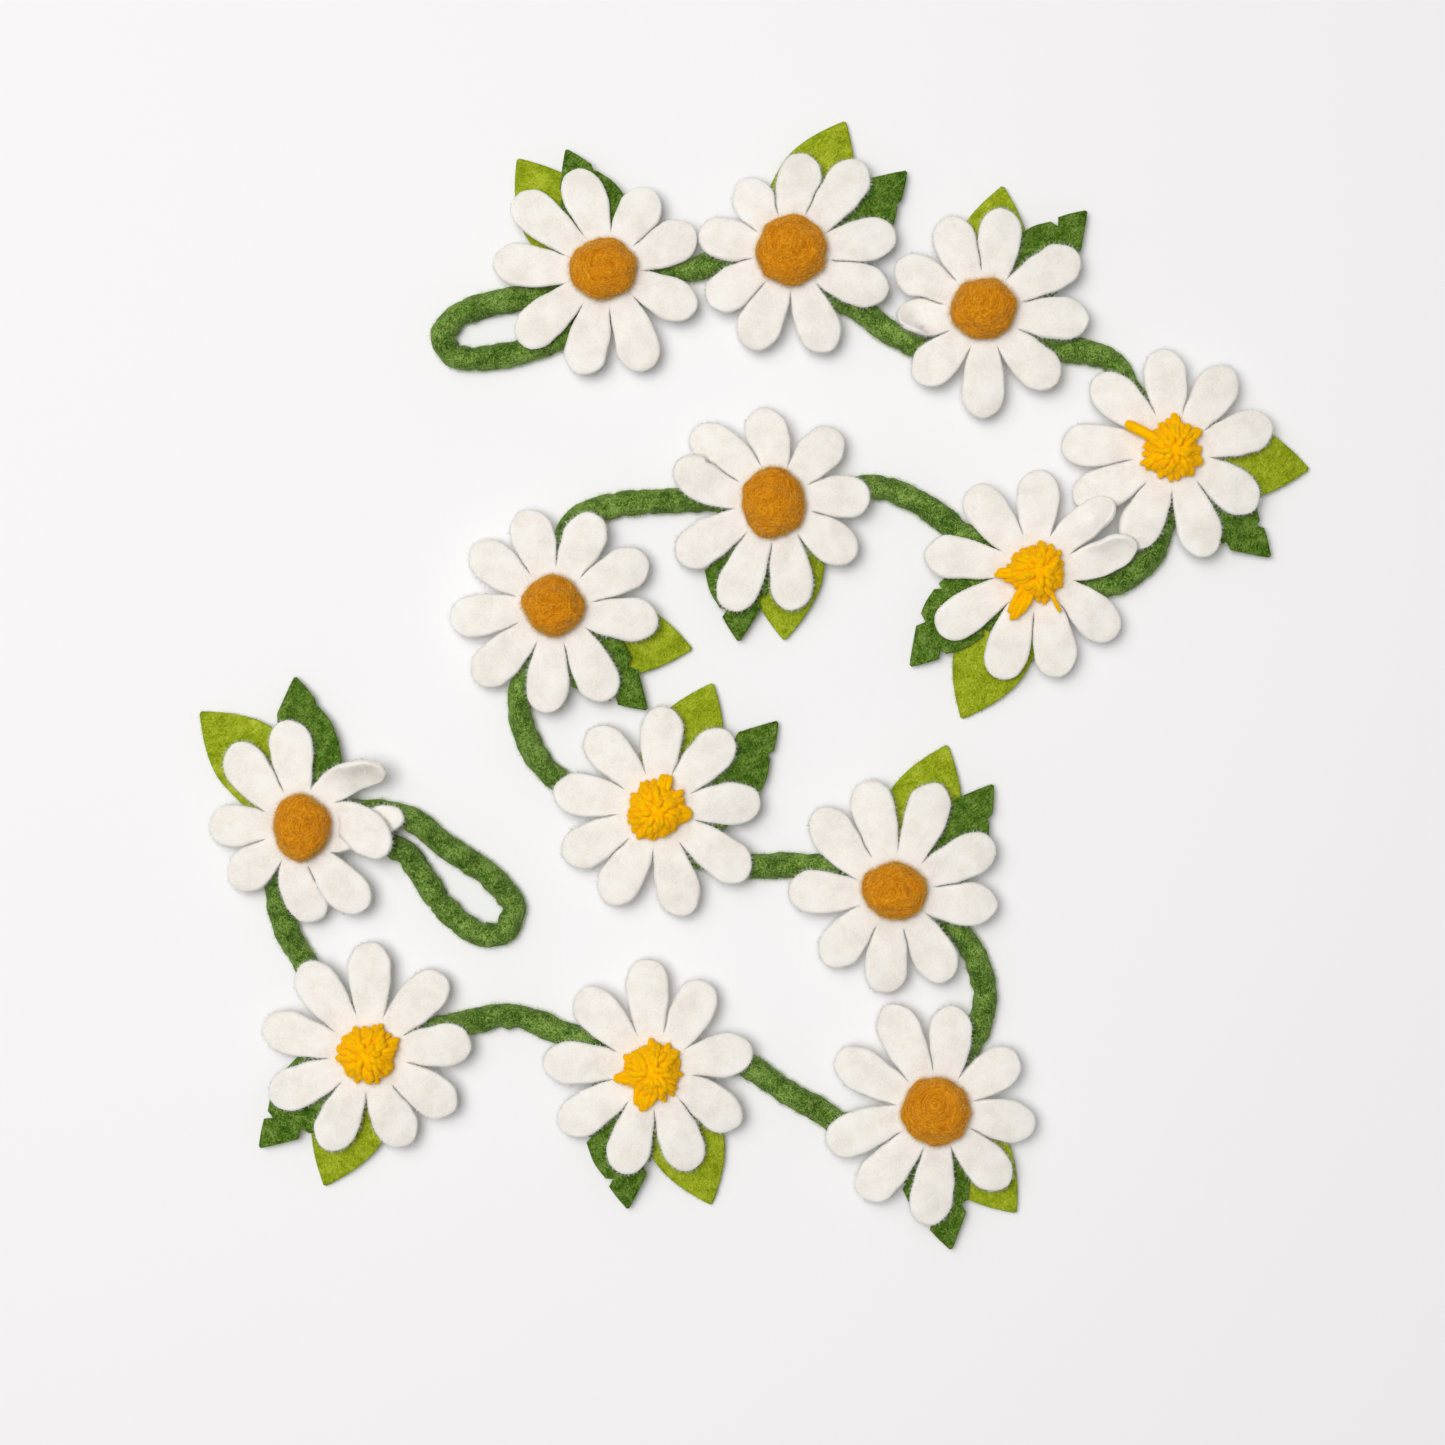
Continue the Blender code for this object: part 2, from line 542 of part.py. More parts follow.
def main():
    clear_scene()
    cream = make_material("cream_felt", (0.87, 0.83, 0.77), 0.95)
    ochre = make_material("ochre_felt", (0.60, 0.24, 0.01), 0.95)
    yellow = make_material("yellow_yarn", (1.0, 0.53, 0.0), 0.9)
    lime = make_material("lime_felt", (0.30, 0.43, 0.01), 0.95)
    dark = make_material("dark_green_felt", (0.04, 0.21, 0.03), 0.95)
    green = make_material("green_rope_felt", (0.05, 0.21, 0.025), 0.95)

    layout = bpy.data.objects.new("garland_layout", None)
    layout.location = LAYOUT_SHIFT * METRES
    bpy.context.scene.collection.objects.link(layout)
    build_rope(green).parent = layout
    for number, flower in enumerate(FLOWERS, start=1):
        place = bpy.data.objects.new(f"flower_{number:02d}", None)
        place.location = Vector((flower.x, flower.y, 0.0)) * METRES
        place.parent = layout
        bpy.context.scene.collection.objects.link(place)
        build_leaf(f"lime_leaf_{number:02d}", flower.lime, LIME_OUTLINE, 0.0, lime, place)
        build_leaf(f"dark_leaf_{number:02d}", flower.dark, dark_outline(number), LEAF_RISE,
                   dark, place)
        build_petals(number, cream, place)
        if flower.centre:
            build_ball(number, flower, ochre, place)
        else:
            build_pompom(number, yellow, place)


main()
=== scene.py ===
# %% [markdown]
# # A felt flower garland
# Thirteen felt daisies are sewn along a rope of felted wool, and the garland lies on a table.
# The solids already hold every piece at its true size and place. This lesson gives each of
# them its cloth: sheets with soft cut edges, a lumpy rope, wound wool balls, yarn pompoms and
# the short fuzz that makes felt look like felt.
#
# All sizes below are millimetres, and a mesh is written in metres at the very end.

import bmesh
import bpy
import numpy as np
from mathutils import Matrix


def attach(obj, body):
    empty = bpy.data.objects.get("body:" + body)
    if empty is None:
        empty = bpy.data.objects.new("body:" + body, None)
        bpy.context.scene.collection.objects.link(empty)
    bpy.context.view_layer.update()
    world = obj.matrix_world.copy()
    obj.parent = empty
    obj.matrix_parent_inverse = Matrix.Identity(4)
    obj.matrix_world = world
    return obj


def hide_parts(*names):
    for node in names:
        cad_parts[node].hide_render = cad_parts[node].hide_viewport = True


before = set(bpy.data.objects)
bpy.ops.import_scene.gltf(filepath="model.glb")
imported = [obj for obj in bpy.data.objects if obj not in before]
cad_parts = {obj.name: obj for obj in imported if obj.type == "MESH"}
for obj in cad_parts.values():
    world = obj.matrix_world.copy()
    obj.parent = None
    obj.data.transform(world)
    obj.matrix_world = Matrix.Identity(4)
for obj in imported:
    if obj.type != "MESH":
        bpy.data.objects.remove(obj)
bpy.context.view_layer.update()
MM = 0.001

# %% [markdown]
# ## The view
# The garland is seen from straight above. A long lens far away keeps the flowers at the rim of
# the picture from leaning outwards. How far away follows from the width that the picture shows.

# %% The camera looks straight down
PICTURE_WIDTH = 563.6
VIEW_CENTRE = (-12.3, -14.8)
LENS = 90.0
SENSOR = 36.0
FLOWER_TOP = 12.0  # the height at which the picture has its true width

camera_data = bpy.data.cameras.new("camera")
camera_data.lens = LENS
camera_data.sensor_width = SENSOR
camera = bpy.data.objects.new("camera", camera_data)
camera_height = PICTURE_WIDTH * LENS / SENSOR + FLOWER_TOP
camera.location = (VIEW_CENTRE[0] * MM, VIEW_CENTRE[1] * MM, camera_height * MM)
bpy.context.scene.collection.objects.link(camera)
bpy.context.scene.camera = camera
print("camera", round(camera_height), "mm above the table")

# %% [markdown]
# ## The layout
# One row for each flower says where it lies and how each petal has bent, and one list of points
# is the rope's route over the table. They are the sizes that the solids were made from, so the
# cloth comes to lie exactly where the solids are.

# %% The flowers, one row each
# x, y: its middle. centre: the half ball's width and depth, or None for a pompom. turn: heading
# of its first petal. For its nine petals, clockwise: sway aside, reach, and lift of the tip.
# lime, dark: heading, reach and lean of each leaf. nicks: how far open the dark leaf's are.
LAYOUT_SHIFT = np.array([0.37, 0.05, 0.0])
FIELDS = ("x", "y", "centre", "turn", "sway", "reach", "lift", "lime", "dark", "nicks")
FLOWER_ROWS = (
    (-59, 161, (26.5, 24), 139, (1, 9, 0, 6, -3, -7, -2, 1, -5),
     (45, 41, 37, 39, 39, 42, 41, 43, 43),
     (-3, -3.5, -4, -2.2, -3, -4, -3.5, -2.2, -2.2), (127, 56.5, -2), (107, 50.5, 8), 0.3),
    (14, 168, (28, 27.5), 169, (-2, -7, -9, 3, 2, 11, 2, -4, 3),
     (36.5, 34, 39, 45, 41.5, 40.5, 41, 40.5, 37.5),
     (-2.2, -3, -3, -3.5, -4, -2.2, -3.5, -4, -3), (68, 57, -4), (36, 56, 10), 0.3),
    (88.5, 145.5, (25.5, 24), 152, (-1, -1, 8, -2, 4, 4, -2, -7, -4),
     (38, 39, 40.5, 43.5, 41.5, 40.5, 41.5, 37, 33),
     (-1.5, -3.5, -3, -3.5, -2.2, -2.2, -4, -4, 3), (80, 50.5, 0), (44, 57.5, 3), 1.2),
    (161.5, 90.5, None, 132, (4, 3, 2, 4, -5, -2, -6, -5, 5),
     (41, 40, 40.5, 41, 40, 43, 40, 41.5, 42),
     (-2.2, -2.2, -4, -3.5, -3.5, -2.2, -2.2, -4.2, -3.5), (-6, 56, 0), (-45, 57, 2), 0.8),
    (109, 43.5, None, 168, (2, -1, -1, -5, 9, -7, -6, 4, 4),
     (43.5, 41.5, 40, 40.5, 40.5, 40, 41.5, 43.5, 44),
     (-2.2, -2.2, -4, 6, 3.3, -4, -3.5, -4, -3), (-116, 63, 1), (217, 60, 11), 1.0),
    (7, 70.5, (24.5, 27.5), 168, (-11, 11, 12, 0, -5, -2, -8, -1, 3),
     (40.5, 42, 37, 38, 38, 38, 42, 45, 43),
     (3.5, -3.5, -3.5, -4, -1.5, -3, -4, -3, -3.5), (-85, 53, -6), (-104, 55, 14), 1.0),
    (-78.5, 30.5, (24, 24), 146, (-3, 1, -1, 2, 7, -7, 0, -2, 2),
     (39, 39, 39.5, 41, 41, 42.5, 41.5, 42, 40.5),
     (-4, -3, -2.2, -4, -3, -3.5, -2.2, -3.5, -4), (-17, 56, 8), (-48, 54, 5), 1.0),
    (-38.5, -49, None, 126, (4, 0, 0, -2, -2, -1, -5, 2, 4),
     (40.5, 40.5, 41.5, 40.5, 44, 42.5, 41, 40.5, 40.5),
     (-3.5, -3, -3.5, -3, -2.2, -4, -3.5, -4, -2.2), (66, 54, 0), (36, 58.5, 13), 0.6),
    (54, -80, (25.5, 22.5), 144, (-11, 0, 4, 1, 9, -4, 1, 4, -4),
     (43, 43.5, 44.5, 43, 40.5, 41, 40.5, 39, 41),
     (-2, -3.5, -3, -3.5, -3, -2.2, -4, -3.5, -2.2), (69, 60, 0), (46, 56.5, 8), 0.4),
    (70, -165.5, (26.5, 26.5), 153, (-2, 2, 9, 0, -4, 0, -8, -3, 6),
     (43.5, 44, 40.5, 38.5, 39.5, 41, 45, 44.5, 44),
     (-3.5, -4, -2.2, -2.5, -4, -3.5, -3, -4, -2.2), (-52, 52.5, 0), (-83, 56, 6), 0.8),
    (-40, -150, None, 133, (0, 1, 6, -3, -7, -2, 1, 0, 4),
     (41.5, 43, 40, 39.5, 40, 42, 42, 42.5, 42.5),
     (-3, -4, -3.5, -2.2, -4, -3.5, -3, -4, -2.2), (-67, 58.5, -2), (-100, 56, 16), 1.0),
    (-150.5, -143.5, None, 127, (0, 4, -1, -2, -1, 6, -1, -2, -2),
     (43, 43, 42, 40, 40, 39, 41, 42, 42.5),
     (-2.2, -3.5, -4, -2.2, -3.5, -4, -3.5, -3, -4), (-109, 56, -3), (-139, 57.5, 6), 1.2),
    (-176, -55.5, (22.5, 27), 138, (-7, 1, -25, -37, 27, 11, 23, 1, 2),
     (42, 42, 39.5, 34.5, 39.5, 40, 36.5, 36, 36.5),
     (-3.5, -3, 4.5, 4.4, -2.8, -2, -4.5, -4, -3.5), (133, 61, 5), (94, 58.5, 5), 0.2),
)
FLOWERS = [dict(zip(FIELDS, row), middle=np.array([*row[:2], 0.0])) for row in FLOWER_ROWS]
print("flowers:", len(FLOWERS), "with a pompom:", sum(f["centre"] is None for f in FLOWERS))

# %% The rope's route over the table
ROUTE = (
    # The first loop, from the end that is sewn under the first flower
    (-61, 157), (-82, 153), (-100, 150), (-111, 147), (-118, 143), (-122, 137), (-119, 130),
    (-112, 128), (-104, 128), (-94, 130), (-82, 134), (-68, 141), (-53, 149), (-37, 162),
    # First flower to second
    (-24, 163), (-14, 166), (-2, 165), (14, 161),
    (29, 153), (41, 147), (55, 137), (69, 132), (89, 137),
    (118, 132), (140, 126), (146, 117), (156, 101), (160, 84),
    (160, 64), (154, 49), (141, 40), (121, 40), (109, 43),
    (94, 51), (80, 60), (63, 72), (49, 77), (28, 74), (7, 72),
    # Sixth flower to seventh
    (-21, 73), (-37, 72), (-56, 70), (-70, 64), (-76, 54), (-80, 37),
    (-86, 13), (-92, -6), (-88, -24), (-76, -38), (-56, -44), (-41, -52),
    (-25, -66), (-13, -70), (18, -71), (37, -73), (54, -79),
    (71, -90), (83, -101), (90, -123), (83, -144), (69, -163),
    # Tenth flower to eleventh
    (32, -171), (22, -165), (10, -158), (-2, -150), (-21, -146),
    (-44, -147), (-74, -137), (-95, -130), (-119, -134), (-138, -136), (-158, -132),
    (-175, -111), (-185, -92), (-187, -74), (-178, -58), (-167, -51),
    # The last loop, back to the end that is sewn under the last flower
    (-151, -50), (-141, -51), (-133, -54), (-125, -60), (-111, -70), (-101, -78), (-95, -87),
    (-98, -96), (-105, -98), (-114, -94), (-121, -88), (-129, -77), (-137, -66), (-146, -62),
    (-159, -61),
)
print("route points:", len(ROUTE))

# %% [markdown]
# ## Tools for woolly shapes
# Every surface here is worked out as whole arrays of numbers. Small tools do it: a smooth curve
# through a few points, an unevenness that makes wool lumpy, a way to hand arrays to Blender as a
# mesh, and round tubes along many paths at once for yarn and fibres.


# %% A smooth curve through a few points
def smooth_line(points, steps):
    """A curve through the points, with `steps` samples in each span.

    Each span is a cubic curve that leaves and meets its points along their tangents. A point's
    tangent is the mean of the slopes on its two sides, and the shorter side counts for more.
    """
    points = np.asarray(points, float)
    spans = np.linalg.norm(np.diff(points, axis=0), axis=1)[:, None]
    slopes = np.diff(points, axis=0) / spans
    inner = (slopes[:-1] * spans[1:] + slopes[1:] * spans[:-1]) / (spans[:-1] + spans[1:])
    tangents = np.vstack([slopes[:1], inner, slopes[-1:]])
    t = np.linspace(0.0, 1.0, steps, endpoint=False)[:, None, None]
    curve = (2 * t**3 - 3 * t**2 + 1) * points[:-1] + (3 * t**2 - 2 * t**3) * points[1:]
    curve += (t**3 - 2 * t**2 + t) * tangents[:-1] * spans + (t**3 - t**2) * tangents[1:] * spans
    return np.vstack([curve.transpose(1, 0, 2).reshape(-1, points.shape[1]), points[-1:]])


def evenly_spaced(curve, gap):
    """The same curve with its points about `gap` apart along it."""
    along = np.concatenate([[0.0], np.cumsum(np.linalg.norm(np.diff(curve, axis=0), axis=1))])
    places = np.linspace(0.0, along[-1], int(np.ceil(along[-1] / gap)) + 1)
    columns = [np.interp(places, along, column) for column in curve.T]
    return np.column_stack(columns), places


def smoothstep(value):
    """0 below 0, 1 above 1, and an S-shaped rise between: 3 v^2 - 2 v^3."""
    share = np.clip(value, 0.0, 1.0)
    return share * share * (3.0 - 2.0 * share)


def round_end(distance, radius):
    """0 at an end and 1 a radius away, as a quarter circle: sqrt(1 - (1 - distance / radius)^2)."""
    return np.sqrt(1.0 - np.clip(1.0 - distance / radius, 0.0, 1.0) ** 2)


def unit(vectors):
    """The same vectors, each divided by its length."""
    return vectors / np.linalg.norm(vectors, axis=-1, keepdims=True)


def circle(count):
    """The angles of `count` places round a circle."""
    return 2.0 * np.pi * np.arange(count) / count


def heading_vector(degrees):
    """Unit vectors in the table's plane, as an array with a last axis of three."""
    angle = np.radians(degrees)
    return np.stack([np.cos(angle), np.sin(angle), np.zeros_like(angle)], axis=-1)


UP = np.array([0.0, 0.0, 1.0])
RING_GAP = 1.0  # how far apart the rope's rings lie
route_line, route_length = evenly_spaced(smooth_line(ROUTE, steps=16), RING_GAP)
print("rope length:", round(route_length[-1]), "mm")


# %% Unevenness, and arrays into a mesh
WAVES = 16
WAVE_LENGTHS = (0.7, 1.5)
WAVE_HEIGHT = 0.35
WELD = 0.002  # points that lie closer than this become one
made = []


def unevenness(points, size, seed):
    """Wool-like unevenness at each point, mostly between -1 and 1, with bumps `size` apart.

    It is a sum of sine waves, sin(direction . point / length + phase), whose directions,
    lengths and phases are drawn from a seeded generator.
    """
    rng = np.random.default_rng(seed)
    directions = rng.normal(size=(3, WAVES))
    directions *= 2.0 * np.pi / np.linalg.norm(directions, axis=0) / rng.uniform(*WAVE_LENGTHS, WAVES)
    phases = rng.uniform(0.0, 2.0 * np.pi, WAVES)
    return WAVE_HEIGHT * np.sin(points @ (directions / size) + phases).sum(axis=-1)


def lumpiness(points, waves):
    """A sum of unevennesses. Each of waves is a height, a size and a seed."""
    return sum(height * unevenness(points, size, seed) for height, size, seed in waves)


def grid_faces(rows, columns):
    """Quads between the rows of a grid of points, whose last column joins its first."""
    index = np.arange(rows * columns).reshape(rows, columns)
    after = np.roll(index, -1, axis=1)
    return np.stack([index[:-1], after[:-1], after[1:], index[1:]], axis=-1)


def make_piece(name, points, faces, material, slot, winding=None, weld=False):
    """Writes arrays of points and faces into a mesh, with its object at the origin.

    faces is a list of arrays with three or four corners a row. winding holds three numbers for
    each point, which a finish can read as a vector. Only a welded piece is shaded smooth, because
    smoothing would darken the tips of loose fibres.
    """
    points = points.reshape(-1, 3)
    corners = np.concatenate([f.ravel() for f in faces])
    sizes = np.concatenate([np.full(f[..., 0].size, f.shape[-1]) for f in faces])
    starts = np.concatenate([[0], np.cumsum(sizes)[:-1]])
    mesh = bpy.data.meshes.new(name)
    mesh.vertices.add(len(points))
    mesh.vertices.foreach_set("co", ((points + LAYOUT_SHIFT) * MM).astype(np.float32).ravel())
    mesh.loops.add(len(corners))
    mesh.loops.foreach_set("vertex_index", corners.astype(np.int32))
    mesh.polygons.add(len(sizes))
    mesh.polygons.foreach_set("loop_start", starts.astype(np.int32))
    mesh.update(calc_edges=True)
    if winding is not None:
        layer = mesh.attributes.new("winding", "FLOAT_VECTOR", "POINT")
        layer.data.foreach_set("vector", winding.astype(np.float32).ravel())
    if weld:
        bm = bmesh.new()
        bm.from_mesh(mesh)
        bmesh.ops.remove_doubles(bm, verts=bm.verts, dist=WELD * MM)
        bmesh.ops.delete(bm, geom=[v for v in bm.verts if not v.link_faces], context="VERTS")
        bmesh.ops.recalc_face_normals(bm, faces=bm.faces)
        bm.to_mesh(mesh)
        bm.free()
        mesh.shade_smooth()
    mesh.materials.append(material)
    piece = bpy.data.objects.new(name, mesh)
    bpy.context.scene.collection.objects.link(piece)
    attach(piece, "root")
    made.append(piece)
    return piece


print("unevenness at three places:", unevenness(np.eye(3) * 5.0, 6.0, 1).round(2))


# %% Round tubes along many paths
NEARLY_UPRIGHT = 0.8
HARDLY_BENT = 0.01


def direction_of(paths):
    """Unit vectors along paths, which run along the last but one axis."""
    along = np.gradient(paths, axis=-2)
    return along / np.maximum(np.linalg.norm(along, axis=-1, keepdims=True), 1e-9)


def tubes(paths, radii, sides):
    """Points and faces of a closed round tube along each path.

    paths has one row of points for each tube. A ring's point is the path's point plus the
    radius times (cos a u + sin a v), where u and v stand square to the path. u lies in the plane
    in which the path bends, so a tube never twists shut. The first and the last point of a path
    are the tube's two poles.
    """
    count, length = paths.shape[:2]
    along = direction_of(paths)
    chord = paths[:, -1:] - paths[:, :1]
    plane = np.cross(paths[:, length // 2, None] - paths[:, :1], chord)
    long = np.linalg.norm(chord, axis=-1, keepdims=True)
    steep = np.abs(chord[..., 2:]) > NEARLY_UPRIGHT * long
    spare = np.cross(chord, np.where(steep, [1.0, 0.0, 0.0], UP))
    straight = np.linalg.norm(plane, axis=-1, keepdims=True) < HARDLY_BENT * long**2
    u = unit(np.cross(along, np.where(straight, spare, plane)))
    v = np.cross(along, u)
    angle = circle(sides)[:, None]
    spoke = np.cos(angle) * u[:, 1:-1, None] + np.sin(angle) * v[:, 1:-1, None]
    rings = paths[:, 1:-1, None] + radii[:, 1:-1, None, None] * spoke
    walls = (length - 2) * sides
    points = np.concatenate([paths[:, :1], rings.reshape(count, walls, 3), paths[:, -1:]], axis=1)
    first = (np.arange(count) * (walls + 2))[:, None, None]
    quads = 1 + grid_faces(length - 2, sides).reshape(-1, 4)
    j = np.arange(sides)
    following = (j + 1) % sides
    start = np.stack([np.zeros(sides, int), 1 + following, 1 + j], axis=-1)
    last_ring = 1 + walls - sides
    end = np.stack([np.full(sides, walls + 1), last_ring + j, last_ring + following], axis=-1)
    return points.reshape(-1, 3), [first + quads, first + start, first + end]


print("a tube of three rings has", len(tubes(np.eye(3)[None], np.ones((1, 3)), 3)[0]), "points")

# %% [markdown]
# ## Wool, seen close
# Felt has no weave. It is a mat of fibres that lie every way, so its colour is mottled twice:
# broad, faint clouds, and fine flecks where a lighter or darker fibre shows. Here three noises,
# each stretched in its own direction, are laid over each other, and where one of them peaks a
# fibre shows. The same pattern drives a fine bump. Sheen gives the soft, pale rim of wool.


# %% Nodes and sockets
NOISE_ROUGHNESS = 0.6


def fill(node, **values):
    """Sets a node. A name with a capital is a socket, where a _ stands for a space, and it takes
    a value or the output of another node. Any other name is a setting of the node."""
    for name, value in values.items():
        if name[0].islower():
            setattr(node, name, value)
        elif isinstance(value, bpy.types.NodeSocket):
            node.id_data.links.new(value, node.inputs[name.replace("_", " ")])
        else:
            node.inputs[name.replace("_", " ")].default_value = value
    return node


def add_node(tree, kind, **values):
    return fill(tree.nodes.new("ShaderNode" + kind), **values)


def noise(tree, vector, scale, detail):
    """A noise texture whose features are 1 / scale of a metre apart."""
    node = add_node(
        tree, "TexNoise", Vector=vector, Scale=scale, Detail=detail, Roughness=NOISE_ROUGHNESS)
    return node.outputs["Fac"]


def calculate(tree, operation, first, second):
    """One sum, product or maximum. Its two sockets share a name, so they are taken in turn."""
    node = add_node(tree, "Math", operation=operation)
    for socket, value in zip(node.inputs, (first, second)):
        if isinstance(value, float):
            socket.default_value = value
        else:
            tree.links.new(value, socket)
    return node.outputs[0]


def add_up(tree, first, second, share):
    """first times 1 - share, plus second times share."""
    first = calculate(tree, "MULTIPLY", first, 1.0 - share)
    return calculate(tree, "ADD", first, calculate(tree, "MULTIPLY", second, share))


def ramp(tree, value, stops):
    """A colour ramp. Each stop is a place and a colour."""
    node = add_node(tree, "ValToRGB", Fac=value)
    elements = node.color_ramp.elements
    while len(elements) < len(stops):
        elements.new(0.5)
    for element, (place, colour) in zip(elements, stops):
        element.position = place
        element.color = (*colour, 1.0)
    return node.outputs["Color"]


WOOL_SHINE = 0.03
SHEEN_ROUGHNESS = 0.6
GLOW_REACH = 1.6  # how far light spreads inside white wool
GLOW_COLOUR = (1.0, 0.9, 0.8)  # red light spreads furthest
WHITE_GLOW = 0.5  # white wool lets more light through than dyed wool
GLOWING = ("cream_felt", "cream_fibres")


def new_material(name, roughness, sheen, sheen_tint):
    """A rough material. White wool glows: a share of its light spreads inside before it leaves."""
    material = bpy.data.materials.new(name)
    material.use_nodes = True
    shader = material.node_tree.nodes["Principled BSDF"]
    fill(
        shader, Roughness=roughness, Specular_IOR_Level=WOOL_SHINE, Sheen_Weight=sheen,
        Sheen_Roughness=SHEEN_ROUGHNESS, Sheen_Tint=(*sheen_tint, 1.0),
        Subsurface_Weight=WHITE_GLOW if name in GLOWING else 0.0,
        Subsurface_Radius=GLOW_COLOUR, Subsurface_Scale=GLOW_REACH * MM)
    return material, shader


print("wool glows", GLOW_REACH, "mm deep in", GLOWING)


# %% One felt finish for all the cut, felted and wound wool
FIBRE_TURNS = ((0.3, 0.2, 0.2), (-0.3, 0.2, 1.2), (0.2, -0.3, 2.3))  # three headings, in radians
FIBRE_FINE = 0.4  # how far apart the fibres of one noise lie
FIBRE_LONG = 2.6  # and how long they are
TUFT_SIZE = 1.3  # the small soft tufts between them
TUFT_DEPTH = 0.5
FELT_ROUGHNESS = 0.95
WOUND = ("ochre_felt", "yellow_yarn")
WOUND_SHARE = 0.42  # how much of a wound ball's mottle comes from its strands
WOUND_WEB = 0.4  # how high its web of fibres stands beside them


def fibre_web(tree, vector):
    """The greatest of three stretched noises: a web of fine lines that run every way."""
    size = (FIBRE_FINE * MM, FIBRE_LONG * MM, FIBRE_FINE * MM)
    web = None
    for turn in FIBRE_TURNS:
        turned = add_node(
            tree, "Mapping", vector_type="TEXTURE", Vector=vector, Rotation=turn, Scale=size)
        fibres = noise(tree, turned.outputs["Vector"], scale=1.0, detail=2.0)
        web = fibres if web is None else calculate(tree, "MAXIMUM", web, fibres)
    return web


def felt_material(name, stops, cloud_scale, cloud_share, bump, sheen, sheen_tint):
    """Felt: fibre web and clouds added up, then coloured by a ramp and raised by a bump.

    Wound wool and yarn add a noise that is stretched along their own winding.
    """
    material, shader = new_material(name, FELT_ROUGHNESS, sheen, sheen_tint)
    tree = material.node_tree
    place = add_node(tree, "TexCoord").outputs["Object"]
    web = fibre_web(tree, place)
    mottle = add_up(tree, web, noise(tree, place, cloud_scale, detail=4.0), cloud_share)
    if name in WOUND:
        around = add_node(tree, "Attribute", attribute_name="winding")
        strands = noise(tree, around.outputs["Vector"], scale=1.0, detail=2.0)
        mottle = add_up(tree, mottle, strands, WOUND_SHARE)
        web = calculate(tree, "ADD", calculate(tree, "MULTIPLY", web, WOUND_WEB), strands)
    tufts = noise(tree, place, 1.0 / (TUFT_SIZE * MM), detail=3.0)
    height = calculate(tree, "ADD", web, tufts)
    relief = add_node(tree, "Bump", Strength=bump, Distance=TUFT_DEPTH * MM, Height=height)
    fill(shader, Base_Color=ramp(tree, mottle, stops), Normal=relief.outputs["Normal"])
    return material


# Each felt: the places and colours of its ramp, how many clouds lie on a metre, their share of
# the mottle, how strong its bump and its sheen are, and the sheen's tint.
FELTS = {
    "cream_felt": (
        ((0.45, (0.815, 0.77, 0.70)), (0.54, (0.895, 0.85, 0.79)), (0.66, (0.945, 0.915, 0.865))),
        110.0, 0.45, 0.35, 0.7, (1.0, 0.98, 0.95)),
    "lime_felt": (
        ((0.465, (0.165, 0.225, 0.005)), (0.555, (0.305, 0.375, 0.012)), (0.67, (0.50, 0.56, 0.055))),
        160.0, 0.3, 0.6, 0.05, (0.8, 0.9, 0.3)),
    "dark_green_felt": (
        ((0.47, (0.022, 0.062, 0.004)), (0.555, (0.083, 0.165, 0.014)), (0.66, (0.22, 0.33, 0.07))),
        220.0, 0.3, 0.6, 0.05, (0.6, 0.8, 0.3)),
    "rope_felt": (
        ((0.475, (0.020, 0.055, 0.005)), (0.56, (0.100, 0.195, 0.021)), (0.645, (0.29, 0.43, 0.10))),
        170.0, 0.28, 0.7, 0.2, (0.7, 0.9, 0.4)),
    "ochre_felt": (
        ((0.43, (0.37, 0.110, 0.001)), (0.52, (0.58, 0.19, 0.002)), (0.62, (0.75, 0.32, 0.015))),
        260.0, 0.35, 0.45, 0.15, (1.0, 0.75, 0.3)),
    "yellow_yarn": (
        ((0.42, (1.0, 0.42, 0.0)), (0.52, (1.0, 0.51, 0.0)), (0.62, (1.0, 0.60, 0.0))),
        300.0, 0.35, 0.3, 1.0, (1.0, 0.55, 0.02)),
}
finish = {name: felt_material(name, *row) for name, row in FELTS.items()}
print("felt finishes:", len(finish))


# %% Finishes for the loose fibres
FIBRE_SHEEN = 0.4
GRAIN_SCALE = 900.0
DARKEST = 0.35  # the grain at which a fibre is darkest
LIGHTEST = 0.65
# The cream and the green fibres are coloured lighter than their felt. This is painted light: it stands in
# for the light that shines through loose fibres and brightens the fuzz round an edge.
FIBRES = {  # the darkest and the lightest colour of each
    "cream_fibres": ((0.93, 0.90, 0.86), (0.99, 0.97, 0.94)),
    "lime_fibres": ((0.26, 0.34, 0.01), (0.52, 0.60, 0.08)),
    "green_fibres": ((0.24, 0.40, 0.07), (0.56, 0.72, 0.28)),
    "ochre_fibres": ((0.80, 0.42, 0.05), (1.0, 0.68, 0.20)),
    "gold_strands": ((0.60, 0.22, 0.004), (0.84, 0.39, 0.02)),
    "yellow_fibres": ((1.0, 0.53, 0.0), (1.0, 0.68, 0.01)),
}


def fibre_material(name, dark, light):
    """Loose wool: each fibre is a little darker or lighter than the next."""
    material, shader = new_material(name, roughness=1.0, sheen=FIBRE_SHEEN, sheen_tint=light)
    tree = material.node_tree
    grain = noise(tree, add_node(tree, "TexCoord").outputs["Object"], GRAIN_SCALE, detail=1.0)
    fill(shader, Base_Color=ramp(tree, grain, [(DARKEST, dark), (LIGHTEST, light)]))
    return material


finish.update({name: fibre_material(name, *colours) for name, colours in FIBRES.items()})
print("fibre finishes:", list(FIBRES))

# %% [markdown]
# ## Fuzz
# The rim of a felt piece is never clean: short fibres stick out all over it. Each fibre is a
# closed spike with three sides, thickest at its root, so the fringe is dense close to the felt
# and thins out away from it. The spikes are scattered over a piece's own faces, and more of them
# over its edges, where they show.


